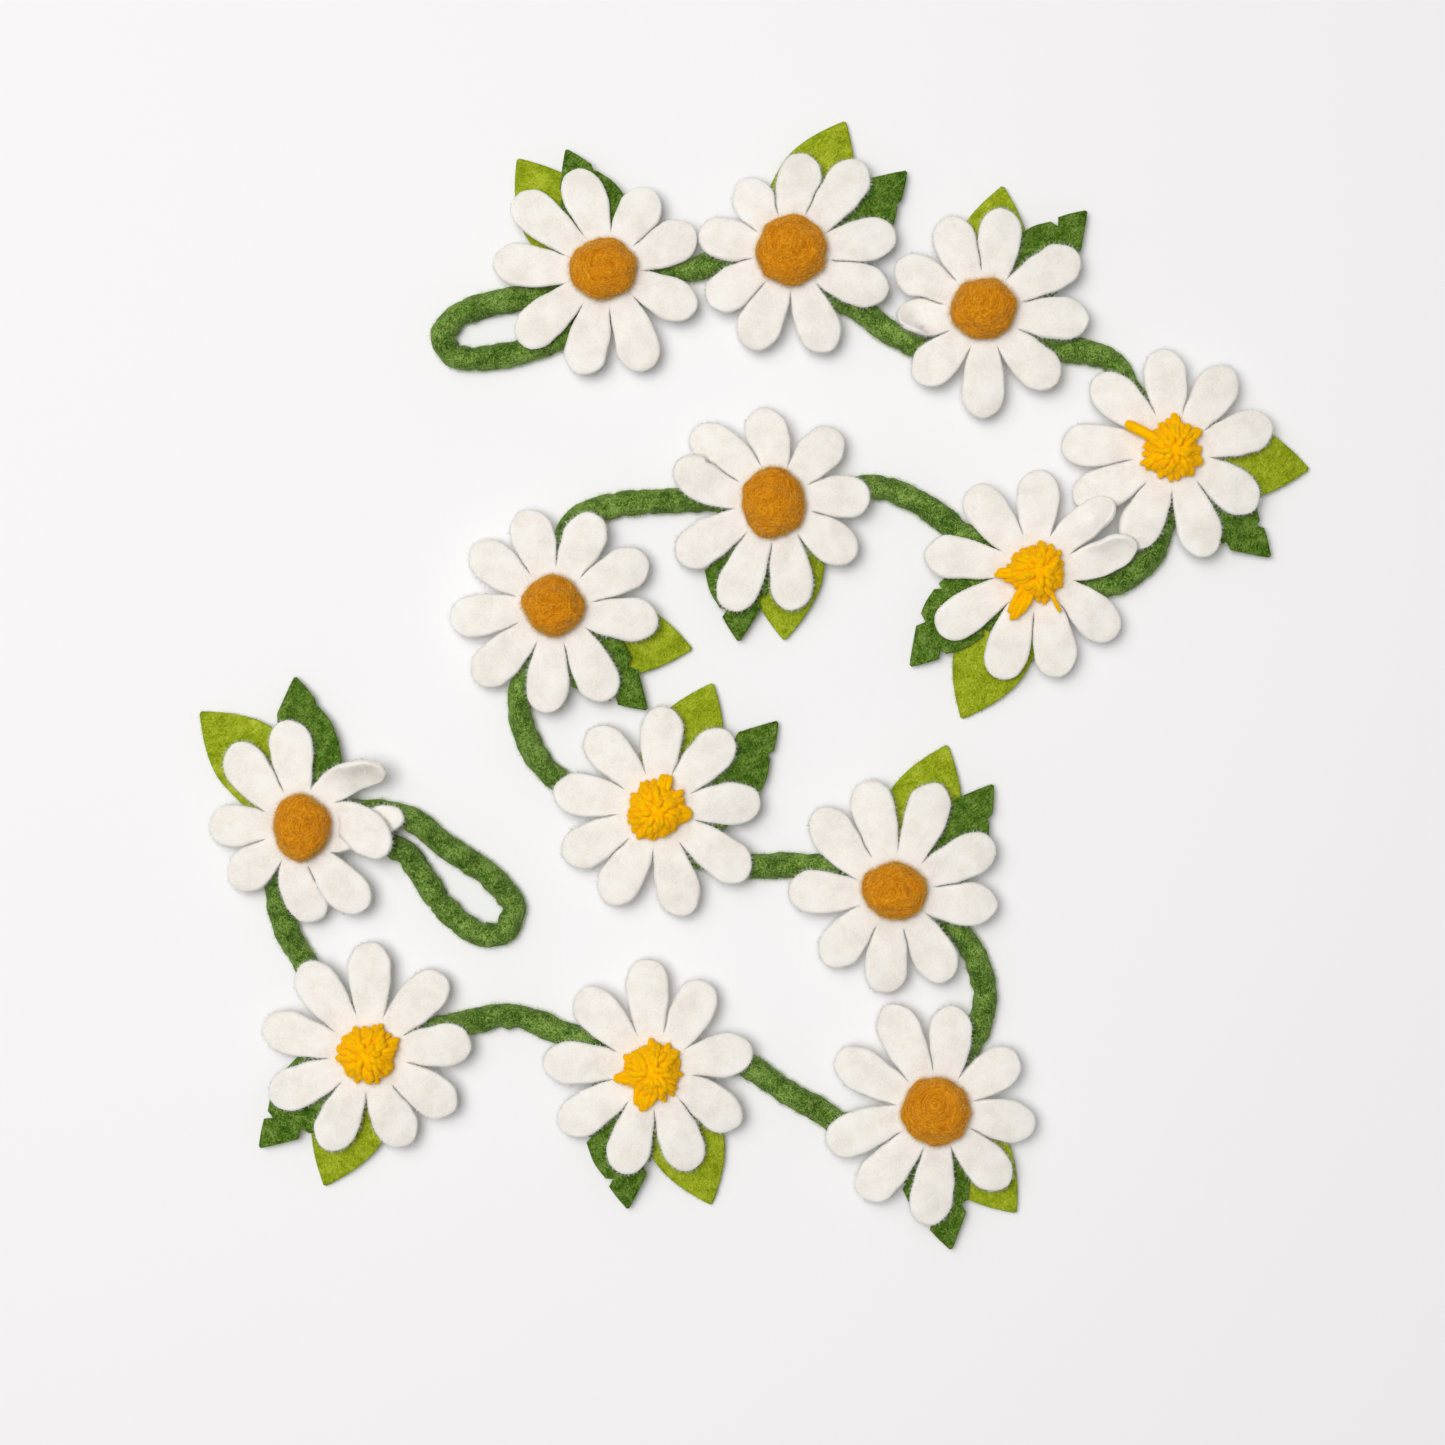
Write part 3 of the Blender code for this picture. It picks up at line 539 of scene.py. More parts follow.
# %% Fibres scattered over a piece
FIBRE_SUNK = 0.15  # how deep a fibre is rooted
FIBRE_STAND = 0.7  # how much it follows the face's normal
FIBRE_STRAY = 0.55  # and how much a direction of its own
FIBRE_SLOPE = 0.05  # the least that it leans out of the felt
FIBRE_REACH = (0.45, 1.5)  # shortest and longest, as a share
FIBRE_POWER = 1.3  # makes long ones rarer
SPREAD = 0.35  # how far from a face's middle it may stand
EDGE_POWER = 1.5
UNDER_SHARE = 0.25  # how many stand on the underside
TABLE_AIR = 0.05  # the least height over the table
# Each kind of piece: its ending, its finish and its slot. Then its fuzz: the first seed, the
# finish, how many fibres, their length and thickness, and how much of it is on edges and faces.
KINDS = {
    "rope": ("felted", "rope_felt", "green_rope_felt", 21, "green_fibres", 23000, 1.5, 0.13, 6.0, 1.0),
    "petals": ("felt", "cream_felt", "cream_felt", 100, "cream_fibres", 4600, 1.3, 0.15, 24.0, 0.1),
    "lime_leaf": ("felt", "lime_felt", "lime_felt", 200, "lime_fibres", 740, 1.1, 0.13, 14.0, 1.0),
    "dark_leaf": (
        "felt", "dark_green_felt", "dark_green_felt", 300, "green_fibres", 740, 1.1, 0.13, 14.0, 1.0),
    "ball": ("wool", "ochre_felt", "ochre_felt", 500, "ochre_fibres", 2900, 1.6, 0.11, 16.0, 1.0),
    "pompom": ("yarn", "yellow_yarn", "yellow_yarn", 700, "yellow_fibres", 3900, 1.6, 0.13, 1.5, 1.0),
}


def scatter(piece, count, rng, on_edges, on_faces):
    """Random places and normals on a piece's faces, drawn by area, with more on its edges."""
    mesh = piece.data
    number = len(mesh.polygons)
    centres, normals, areas = np.empty((number, 3)), np.empty((number, 3)), np.empty(number)
    mesh.polygons.foreach_get("center", centres.ravel())
    mesh.polygons.foreach_get("normal", normals.ravel())
    mesh.polygons.foreach_get("area", areas)
    weight = areas * (on_faces + on_edges * (1.0 - np.abs(normals[:, 2])) ** EDGE_POWER)
    weight *= np.where(normals[:, 2] < -0.5, UNDER_SHARE, 1.0)
    chosen = rng.choice(number, count, p=weight / weight.sum())
    wide = np.sqrt(areas[chosen])[:, None] / MM
    offset = np.cross(normals[chosen], rng.normal(size=(count, 3))) * SPREAD * wide
    return centres[chosen] / MM - LAYOUT_SHIFT + offset, normals[chosen]


def fuzz(name, piece, slot, seed, material, count, length, thick, on_edges, on_faces):
    """Short fibres all over a piece, as one piece of its own.

    A fibre's tip lies a whole length out from its root, along the face's normal mixed with a
    random direction. Its foot is a triangle square to that line, sunk a little into the felt.
    """
    rng = np.random.default_rng(seed)
    roots, normals = scatter(piece, count, rng, on_edges, on_faces)
    heading = unit(normals * FIBRE_STAND + rng.normal(size=(count, 3)) * FIBRE_STRAY)
    inward = (heading * normals).sum(axis=1, keepdims=True)
    heading = heading - np.minimum(inward - FIBRE_SLOPE, 0.0) * normals
    long = length * rng.uniform(*FIBRE_REACH, (count, 1)) ** FIBRE_POWER
    u = unit(np.cross(heading, rng.normal(size=(count, 3))))
    v = np.cross(unit(heading), u)
    turn = circle(3)[:, None]
    spoke = 0.5 * thick * (np.cos(turn) * u[:, None] + np.sin(turn) * v[:, None])
    foot = (roots - normals * FIBRE_SUNK)[:, None] + spoke
    points = np.concatenate([foot, (roots + heading * long)[:, None]], axis=1)
    points[..., 2] = np.maximum(points[..., 2], TABLE_AIR)
    first = 4 * np.arange(count)[:, None, None]
    faces = first + np.array([(0, 1, 3), (1, 2, 3), (2, 0, 3), (2, 1, 0)])
    return make_piece(name, points, [faces], finish[material], slot)


def dress(kind, number, points, faces, winding=None, strands=None):
    """The felted piece that stands for one solid, the gold strands laid on it, and its fuzz.

    strands holds their points and faces. Only the half balls have them.
    """
    ending, felt, slot, seed, *fluff = KINDS[kind]
    name = f"{kind}_{number:02d}" if number else kind
    piece = make_piece(f"{name}_{ending}", points, faces, finish[felt], slot, winding, weld=True)
    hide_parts(name)
    if strands is not None:
        make_piece(name + "_strands", *strands, finish["gold_strands"], slot)
    return piece, fuzz(name + "_fuzz", piece, slot, seed + number, *fluff)


print("kinds of pieces:", list(KINDS))

# %% [markdown]
# ## The rope
# The rope is a roving of wool, rolled wet between the hands until it felted. It is lumpy, it is
# pressed flat where a flower is sewn on, its inner side buckles in a bend, and needle pricks
# left small dark pits. It is one closed surface: an oval profile carried along the route.

# %% The rope's line and its surface
ROPE_THICK = 9.8
ROPE_PRESSED = 8.0
PRESSED_RADIUS = 17.0  # as near as this to a flower's middle the rope is pressed
FREE_RADIUS = 27.0  # and from here on it has its full height
ROPE_SIDES = 28
CAP_LENGTH = 4.0
ROPE_LUMPS = ((0.04, 13.0, 11), (0.025, 5.0, 12))  # share of the radius, size, seed
PRICK_SIZE = 4.2
PRICK_SEED = 13
PRICK_LEVEL = 0.8  # a higher one makes pits rarer
PRICK_DEPTH = 0.17
BEND_REACH = 9  # rings over which a bend is averaged
SHARP_BEND = 0.05  # in radians a millimetre
FOLD_GAP = 9.0
FOLD_DEPTH = 0.20
FOLD_WANDER = ((1.5, 40.0, 14),)
ROPE_LOWEST = 0.02
SIDES_LIFT = 0.3

flower_middles = np.array([f["middle"][:2] for f in FLOWERS])


def rope_height(line):
    """The rope's height, pressed near a flower's middle and full further off."""
    away = np.linalg.norm(line[:, None] - flower_middles[None], axis=-1).min(axis=1)
    free = smoothstep((away - PRESSED_RADIUS) / (FREE_RADIUS - PRESSED_RADIUS))
    return ROPE_PRESSED + (ROPE_THICK - ROPE_PRESSED) * free


def rope_surface(line, length):
    """Rings of an oval profile: across = half the width times cos a, up = half the height
    times (1 + sin a), both times 1 + lumps - pits - buckles."""
    along = direction_of(line)
    side = np.column_stack([along[:, 1], -along[:, 0]])
    bend = np.gradient(np.unwrap(np.arctan2(along[:, 1], along[:, 0]))) / RING_GAP
    bend = np.convolve(bend, np.ones(BEND_REACH) / BEND_REACH, mode="same")[:, None]
    angle = circle(ROPE_SIDES)
    rise = 0.5 * rope_height(line)[:, None]

    def rings(grow):
        across = 0.5 * ROPE_THICK * np.cos(angle) * grow
        up = rise + rise * np.sin(angle) * grow
        return np.concatenate([line[:, None] + side[:, None] * across[..., None], up[..., None]], axis=-1)

    smooth = rings(np.ones_like(rise))
    pits = PRICK_DEPTH * np.clip(unevenness(smooth, PRICK_SIZE, PRICK_SEED) - PRICK_LEVEL, 0.0, 1.0)
    inner = np.clip(-np.sign(bend) * np.cos(angle), 0.0, 1.0)
    wander = lumpiness(line @ np.eye(2, 3), FOLD_WANDER)
    folds = 0.5 + 0.5 * np.sin(2.0 * np.pi * length / FOLD_GAP + wander)
    buckles = FOLD_DEPTH * inner * (smoothstep(np.abs(bend) / SHARP_BEND) * folds[:, None])
    cap = round_end(np.minimum(length, length[-1] - length), CAP_LENGTH)[:, None]
    points = rings((1.0 + lumpiness(smooth, ROPE_LUMPS) - pits - buckles) * cap)
    lowest = ROPE_LOWEST + SIDES_LIFT * (1.0 - np.clip(-np.sin(angle), 0.0, 1.0))
    points[..., 2] = np.maximum(points[..., 2], lowest)
    return points


rope_points = rope_surface(route_line, route_length)
rope_piece, rope_fuzz = dress("rope", 0, rope_points, [grid_faces(*rope_points.shape[:2])])
print("rope rings:", len(rope_points), "faces:", len(rope_piece.data.polygons))

# %% [markdown]
# ## A sheet of felt with soft edges
# A die cuts felt with an edge that is nearly square, and the wool soon rounds it. So petals and
# leaves share one profile: a flat bar whose four corners are quarter circles. It is carried along
# a row of middle points, and on each side it reaches to that row's edge point.


# %% The felt bar's profile, and how it is carried
MOST_ROUND = 0.9  # the rounding's largest share of the bar's half width


def bar_profile(top, bottom, corner):
    """The closed profile's points, as four arrays: share across, cos, sin and face.

    The top runs left to right, then the right corner arcs turn down, the bottom runs back, and
    the left arcs turn up. face is 1 on the upper half and -1 on the lower.
    """
    upper = np.linspace(-1.0, 1.0, top)
    lower = np.linspace(1.0, -1.0, bottom)
    arc = np.linspace(90.0, 0.0, corner + 1)[1:]
    turn = np.radians(np.concatenate([
        np.full(top, 90.0), arc, -arc[::-1], np.full(bottom, -90.0), -arc, arc[::-1]]))
    share = np.concatenate([upper, np.ones(2 * corner), lower, -np.ones(2 * corner)])
    face = np.concatenate([np.ones(top + corner), -np.ones(bottom + 2 * corner), np.ones(corner)])
    return share, np.cos(turn), np.sin(turn), face


def carry_bar(profile, middle, left, right, normal, thick, rounding, crown):
    """The bar's points: one row for each middle point, one column for each profile point.

    left and right are the edges' offsets from the middle. A column lies at the middle plus its
    share of that offset, and along the normal at its height in the profile, plus the crown,
    which falls from the middle to nothing at the edges as 1 - share^2.
    """
    share, cosine, sine, face = profile
    width = np.stack([np.linalg.norm(left, axis=1), np.linalg.norm(right, axis=1)])
    narrow = np.maximum(width.min(axis=0), 1e-6)
    round_share = np.minimum(rounding / narrow, MOST_ROUND)[:, None]
    radius = round_share * narrow[:, None]
    reach = (1.0 - round_share) * np.abs(share) + round_share * cosine
    offset = np.where((share < 0.0)[None, :, None], left[:, None], right[:, None]) * reach[..., None]
    height = face * (0.5 * thick[:, None] - radius) + radius * sine
    height = height + crown[:, None] * (1.0 - reach**2)
    return middle[:, None] + offset + normal[:, None] * height[..., None]


petal_profile = bar_profile(top=9, bottom=5, corner=4)
leaf_profile = bar_profile(top=7, bottom=3, corner=3)
print("points round a petal's profile:", len(petal_profile[0]))

# %% [markdown]
# ## Petals
# All nine petals of a daisy are one die-cut sheet. They part where the slits end, just outside
# the centre. Each petal widens to a rounded tip, hangs down or curls up a little, rolls about its
# own length, and never runs into the petal beside it. The grids of nine petals meet in the hub,
# where their shared edges are welded, so the sheet is one closed surface.

# %% The petals' own sizes
PETALS = 9
PETAL_STEP = 360.0 / PETALS
HALF_STEP = np.radians(PETAL_STEP / 2.0)
HUB_RADIUS = 14.5
HUB_RINGS = (0.0, 5.0, 9.0, 12.0)
STRAIGHT_ROWS = 11
TIP_ROWS = 9
PETAL_WIDTH = 16.8
PETAL_ROUND = 9.5  # how long the round tip is
PETAL_FLARE = 1.9  # the higher, the nearer to the hub a petal is wide
PETAL_THICK = 3.0
PETAL_CROWN = 0.5
PETAL_AIR = 0.25  # half the room between two petals
PETAL_EDGE = 1.25  # radius of the soft edge
DROOP_POWER = 1.6
UNEVEN_ROLL = 5.0  # in degrees
UNEVEN_STEP = 2.3
CROSSING_RISE = PETAL_THICK + 0.2
CROSSING_SPREAD = 25.0
EARLY_CROSSING = {13: 0.6}  # here one petal folds over the other right from the slit
PETAL_WAVES = ((0.18, 11.0, 31), (0.10, 4.5, 32))
RIM_WANDER = 0.15
RIM_SIZE = 9.0
RIM_SEEDS = (33, 34)
print("a petal is", PETAL_WIDTH, "mm wide and", PETAL_THICK, "mm thick")

# %% How high each layer lies
GAP = 0.3
LEAF_THICK = 2.0
LEAF_RISE = LEAF_THICK + 0.75
LIME_BASE = ROPE_PRESSED + GAP + 0.25
PETAL_BASE = LIME_BASE + LEAF_RISE + LEAF_THICK + 0.65
CENTRE_BASE = PETAL_BASE + PETAL_THICK + GAP
print("petal sheet from", round(PETAL_BASE, 2), "to", round(PETAL_BASE + PETAL_THICK, 2), "mm up")

# %% Petals that lie in a way of their own, by flower and petal
ROLLED = {
    (3, 9): 34.0, (5, 4): -40.0, (5, 5): 36.0, (6, 1): -14.0,
    (13, 3): 48.0, (13, 4): 0.0, (13, 5): 0.0,
}
BOWED = {(3, 9): -5.0, (13, 4): -3.0, (13, 5): 10.0}
STEEP = {(13, 4): 0.4, (13, 5): 0.4}
CUPPED = {(3, 9): 4.6, (5, 4): 4.2, (5, 5): 3.4, (13, 3): 2.2}  # how deep, in mm
NARROWED = {(5, 4): 0.9, (5, 5): 0.92, (13, 3): 0.9, (13, 5): 0.7}
# Shares of a petal's length in which it leaves its level root, the hub's arc turns into a
# straight row, the crown rises, and the air beside it opens.
ROOT_FADE = 0.15
ARC_FADE = 0.3
CROWN_FADE = 0.5
AIR_FADE = 0.125
ROLL_RATE = 1.5  # it is fully rolled at 1 / ROLL_RATE of its length
LOOK_BACK = 0.05  # the share of the length over which its direction is taken
# In mm: past the slit, where the edge gets round and where the rim wanders.
EDGE_FADE = 3.5
RIM_FADE = 6.0
print("rolled petals:", len(ROLLED), "cupped petals:", len(CUPPED))


# %% Where a petal runs
def petal_heading(number, index, share):
    """Heading at a share of the length: turn - 40 index + sway share + bow sin(pi share)."""
    flower = FLOWERS[number - 1]
    bow = BOWED.get((number, index + 1), 0.0) * np.sin(np.pi * share)
    return flower["turn"] - PETAL_STEP * index + flower["sway"][index] * share + bow


def petal_rise(number, index, share):
    """Height of the middle line over the hub: lift times share to the droop's power."""
    power = STEEP.get((number, index + 1), DROOP_POWER)
    return FLOWERS[number - 1]["lift"][index] * np.maximum(share, 0.0) ** power


def petal_roll(number, index, share):
    """How far the petal is rolled about its own length, in radians."""
    own = UNEVEN_ROLL * np.sin(UNEVEN_STEP * index + number)
    return np.radians(ROLLED.get((number, index + 1), own)) * smoothstep(ROLL_RATE * share)


def petal_middle(number, index, share):
    """The middle line: hub radius plus share of the length, along the heading, at its rise."""
    reach = FLOWERS[number - 1]["reach"][index]
    out = HUB_RADIUS + (reach - HUB_RADIUS) * share
    point = heading_vector(petal_heading(number, index, share)) * out[:, None]
    point[:, 2] = PETAL_BASE + 0.5 * PETAL_THICK + petal_rise(number, index, share)
    return point


def petal_half_width(length, share):
    """It widens as 1 - along^PETAL_FLARE, then ends in half an ellipse PETAL_ROUND long."""
    from_tip = (1.0 - share) * length
    tip = 0.5 * PETAL_WIDTH * round_end(from_tip, PETAL_ROUND)
    root = HUB_RADIUS * np.sin(HALF_STEP)
    along = np.clip((from_tip - PETAL_ROUND) / (length - PETAL_ROUND), 0.0, 1.0)
    body = root + (0.5 * PETAL_WIDTH - root) * (1.0 - along**PETAL_FLARE)
    return np.where(from_tip < PETAL_ROUND, tip, body)


print("half width at the tip's start:", petal_half_width(26.0, np.array([1.0 - PETAL_ROUND / 26.0])))


# %% A petal stays on its own side
def wrapped(degrees):
    """The same angle, between -180 and 180."""
    return (degrees + 180.0) % 360.0 - 180.0


def clear_of_neighbour(number, index, points, side):
    """Edge points, turned back about the flower's middle where they pass the line halfway to
    the petal beside them. One may pass it only as far as it runs high enough over the other."""
    neighbour = (index - side) % PETALS
    reach = np.array(FLOWERS[number - 1]["reach"])[[index, neighbour], None]
    radius = np.hypot(points[:, 0], points[:, 1])
    own, other = np.maximum(0.0, (radius - HUB_RADIUS) / (reach - HUB_RADIUS))
    heading = petal_heading(number, index, own)
    apart = wrapped(side * (petal_heading(number, neighbour, other) - heading))
    between = np.abs(petal_rise(number, index, own) - petal_rise(number, neighbour, other))
    over = CROSSING_SPREAD * np.maximum(0.0, between - EARLY_CROSSING.get(number, CROSSING_RISE))
    room = apart / 2.0 + np.degrees((over - PETAL_AIR * smoothstep(own / AIR_FADE)) / radius)
    turned = wrapped(side * (np.degrees(np.arctan2(points[:, 1], points[:, 0])) - heading))
    back = np.radians(-side * np.maximum(0.0, turned - room)) * (other <= 1.0)
    x = points[:, 0] * np.cos(back) - points[:, 1] * np.sin(back)
    y = points[:, 0] * np.sin(back) + points[:, 1] * np.cos(back)
    return np.column_stack([x, y, points[:, 2]])


print("petals a flower:", PETALS, "air between two:", 2 * PETAL_AIR, "mm")


# %% One petal's grid, from the middle of the hub to the tip
def petal_rows(length):
    """Shares of the length: even along the body, and closer towards the tip, as 1 - cos."""
    body = np.linspace(0.0, 1.0 - PETAL_ROUND / length, STRAIGHT_ROWS)
    angle = np.linspace(np.pi / 2.0, 0.0, TIP_ROWS)[1:]
    return np.concatenate([body, 1.0 - PETAL_ROUND * (1.0 - np.cos(angle)) / length])


def petal_grid(number, index, profile):
    """Rows of the felt bar. In the hub a row is an arc about the flower's middle, which fades
    into a straight row across the petal past the slits."""
    length = FLOWERS[number - 1]["reach"][index] - HUB_RADIUS
    share = petal_rows(length)
    root = smoothstep(share / ROOT_FADE)
    middle = petal_middle(number, index, share)
    along = unit(middle - petal_middle(number, index, share - LOOK_BACK))
    straight_out = heading_vector(petal_heading(number, index, 0.0 * share))
    along = unit(straight_out + (along - straight_out) * root[:, None])
    roll = petal_roll(number, index, share)[:, None]
    across = unit(np.cross(UP, along)) * np.cos(roll) + UP * np.sin(roll)
    narrow = NARROWED.get((number, index + 1), 1.0)
    half = (petal_half_width(length, share) * (1.0 + (narrow - 1.0) * root))[:, None]
    arc = HUB_RADIUS * (1.0 - np.cos(HALF_STEP)) * (1.0 - smoothstep(share / ARC_FADE))
    shift = along * arc[:, None]
    left, right = (
        clear_of_neighbour(number, index, middle + across * (side * half) - shift, side) - middle + shift
        for side in (1, -1))
    soft = round_end((1.0 - share) * length, PETAL_EDGE)
    thick = PETAL_THICK - 2.0 * PETAL_EDGE * (1.0 - soft)
    rounding = PETAL_EDGE * smoothstep(share * length / EDGE_FADE)
    cup = CUPPED.get((number, index + 1), 0.0) * (half[:, 0] / (0.5 * PETAL_WIDTH)) ** 2
    crown = (PETAL_CROWN - cup) * smoothstep(share / CROWN_FADE)
    normal = np.cross(along, across)
    rows = carry_bar(profile, middle, left, right, normal, thick, rounding, crown)
    return rows - shift[:, None] * (profile[0] ** 2)[None, :, None]


def hub_grid(number, index, profile):
    """Rows inside the hub: arcs about the flower's middle."""
    share, _, _, face = profile
    heading = FLOWERS[number - 1]["turn"] - PETAL_STEP * index
    radial, left = heading_vector(heading), heading_vector(heading + 90.0)
    bow = 1.0 - (1.0 - np.cos(HALF_STEP)) * share**2
    rows = radial * bow[:, None] - left * (np.sin(HALF_STEP) * share)[:, None]
    rows = rows * np.array(HUB_RINGS)[:, None, None]
    rows[..., 2] = PETAL_BASE + PETAL_THICK * (0.5 + 0.5 * face)
    return rows


print("rows in a petal:", len(petal_rows(26.0)))


# %% The whole sheet of petals
def petal_sheet(number, profile):
    """Nine petals' grids joined in the hub, where only the top and the bottom have faces."""
    middle = FLOWERS[number - 1]["middle"]
    flat = np.abs(profile[1]) < 1e-9
    same = flat & np.roll(flat, -1) & (profile[3] == np.roll(profile[3], -1))
    points, faces = [], []
    for index in range(PETALS):
        rows = np.concatenate([hub_grid(number, index, profile), petal_grid(number, index, profile)])
        quads = grid_faces(*rows.shape[:2]) + index * rows[..., 0].size
        faces += [quads[:len(HUB_RINGS)][:, same], quads[len(HUB_RINGS):]]
        points.append(rows.reshape(-1, 3))
    points = np.concatenate(points) + middle
    points[:, 2] += lumpiness(points, PETAL_WAVES)
    wander = np.column_stack([unevenness(points, RIM_SIZE, seed) for seed in RIM_SEEDS])
    from_hub = np.hypot(*(points - middle).T[:2]) - HUB_RADIUS
    points[:, :2] += RIM_WANDER * wander * smoothstep(from_hub / RIM_FADE)[:, None]
    return points, faces


for number, flower in enumerate(FLOWERS, start=1):
    piece, fluff = dress("petals", number, *petal_sheet(number, petal_profile))
print("petal sheets:", len(FLOWERS), "faces in the last:", len(piece.data.polygons))

# %% [markdown]
# ## Leaves
# Each flower has two leaves. The lime one is a plain pointed leaf, and the dark one over it has
# two nicks cut in each side. Both lie level on the rope under the petals and slope down to the
# table from there. Their outlines are short tables, which smooth curves join between the nicks.

# %% The leaves' outlines
LEAF_WIDEST = 30.0  # how far from its tip
LEAF_NARROWS = 36.0  # half the length of the ellipse that narrows it from there
LEAF_ROOT = ((52.0, 8.0), (64.0, 4.5))
LEAF_LEVEL = 16.5  # it lies level as near as this to the flower's middle
LEAF_SLOPE = 0.165
LEAF_EDGE = 0.6
LEAF_END = (0.0, 0.75, 1.0)  # how thick its last rows are, as a share of the soft edge
LEAF_CROWN = 0.1
LEAF_WAVES = ((0.10, 9.0, 41),)
STRAIGHT_STEPS = 4
CURVE_STEPS = 5
TURNED_OVER = (3, 4, 5)
NICK_ROWS = (3, 7)
DARK_CORNERS = (2, 3, 4, 6, 7, 8)
# Distance from the tip and half width on the one side, then on the other.
LIME_OUTLINE = [
    row * 2
    for row in ((0.0, 0.6), (4.0, 3.9), (9.0, 7.6), (15.0, 11.2), (22.0, 14.0), (30.0, 15.0))
]
DARK_OUTLINE = [
    (0.0, 0.6, 0.0, 0.6), (5.0, 3.9, 5.0, 3.9), (9.4, 6.4, 13.0, 8.9), (12.2, 4.5, 16.6, 7.2),
    (12.8, 7.4, 17.9, 10.8), (19.0, 11.1, 22.0, 12.3), (27.6, 13.3, 28.2, 13.3),
    (29.6, 11.0, 30.4, 11.2), (30.2, 13.4, 31.0, 13.4),
]


def leaf_rows(outline, reach, corners):
    """Dense rows of an outline and its root: smooth between the corner rows, straight at them.

    The root narrows as an ellipse to where the leaf comes level, and then to its sewn end.
    """
    level = reach - LEAF_LEVEL
    narrowed = outline[-1][1] * np.sqrt(1.0 - ((level - LEAF_WIDEST) / LEAF_NARROWS) ** 2)
    table = np.array(list(outline) + [pair * 2 for pair in ((level, narrowed),) + LEAF_ROOT])
    stops = [0, *corners, len(table) - 1]
    dense = [table[:1]]
    for a, b in zip(stops, stops[1:]):
        stretch = table[a : b + 1]
        straight = b - a == 1
        line = np.linspace(*stretch, STRAIGHT_STEPS) if straight else smooth_line(stretch, CURVE_STEPS)
        dense.append(line[1:])
    return np.concatenate(dense)


print("rows in a lime leaf:", len(leaf_rows(LIME_OUTLINE, 56.0, ())))


# %% Cut the leaves
def dark_outline(number):
    """The dark outline, each nick as deep as that leaf's own are, on the side that shows."""
    rows = [list(row) for row in DARK_OUTLINE]
    for place in NICK_ROWS:
        for half in (1, 3):
            whole = 0.5 * (rows[place - 1][half] + rows[place + 1][half])
            depth = whole - rows[place][half]
            rows[place][half] = whole - depth * FLOWERS[number - 1]["nicks"]
    if number in TURNED_OVER:
        return rows
    return [row[2:] + row[:2] for row in rows]


def leaf_points(flower, pose, rows, rise, profile):
    """The felt bar from the leaf's tip to its root. Its height falls by LEAF_SLOPE of the
    distance past LEAF_LEVEL from the flower's middle."""
    heading, reach, lean = pose
    tip = heading_vector(heading) * reach
    along, left = heading_vector(heading + lean), heading_vector(heading + lean + 90.0)
    count = len(rows)

    def lay(from_tip, half):
        point = tip - along * from_tip[:, None] + left * half[:, None]
        away = np.hypot(point[:, 0], point[:, 1])
        point[:, 2] = LIME_BASE - LEAF_SLOPE * np.maximum(0.0, away - LEAF_LEVEL) + rise
        return point

    middle = lay(0.5 * (rows[:, 0] + rows[:, 2]), np.zeros(count))
    edges = [lay(rows[:, 0], rows[:, 1]) - middle, lay(rows[:, 2], -rows[:, 3]) - middle]
    middle[:, 2] += 0.5 * LEAF_THICK
    from_end = np.minimum(np.arange(count), np.arange(count)[::-1])
    soft = np.array(LEAF_END)[np.minimum(from_end, len(LEAF_END) - 1)]
    thick = LEAF_THICK - 2.0 * LEAF_EDGE * (1.0 - soft)
    crown = np.full(count, LEAF_CROWN)
    grid = carry_bar(profile, middle, *edges, np.tile(UP, (count, 1)), thick, LEAF_EDGE, crown)
    ends = middle[[0, -1], None].repeat(grid.shape[1], 1)
    return np.concatenate([ends[:1], grid, ends[1:]]) + flower["middle"]


for number, flower in enumerate(FLOWERS, start=1):
    for colour, outline, corners, rise, under in (
            ("lime", LIME_OUTLINE, (), 0.0, "rope"),
            ("dark", dark_outline(number), DARK_CORNERS, LEAF_RISE, f"lime_leaf_{number:02d}")):
        rows = leaf_rows(outline, flower[colour][1], corners)
        grid = leaf_points(flower, flower[colour], rows, rise, leaf_profile)
        grid[..., 2] += lumpiness(grid, LEAF_WAVES)
        piece, fluff = dress(colour + "_leaf", number, grid, [grid_faces(*grid.shape[:2])])
print("leaves:", 2 * len(FLOWERS))

# %% [markdown]
# ## Felted half balls
# Eight daisies have a half ball of needle-felted wool. Wool was wound round and round and then
# pricked until it held, so fine strands still run over it in arcs. The ball is a profile turned
# about its own axis, with three soft lumps, and the strands are thin tubes laid on that surface.

# %% The ball's surface
BALL_HEIGHT = 13.0
BALL_LUMP = 0.03
BALL_SNUG = 0.96  # the loose wool over it makes up the rest
BALL_RINGS = ((0.86, 0.0), (1.0, 0.26), (0.93, 0.54), (0.70, 0.80), (0.36, 0.95), (0.0, 1.0))
BALL_MIDDLE = 0.35  # the share of its height from which its lumps stand out
BALL_WAVES = ((0.38, 10.0, 51), (0.18, 4.0, 52))
FOOT_FADE = 0.15
BALL_SIDES = 60
BALL_LEVELS = 31
ball_profile = smooth_line(BALL_RINGS, steps=6)


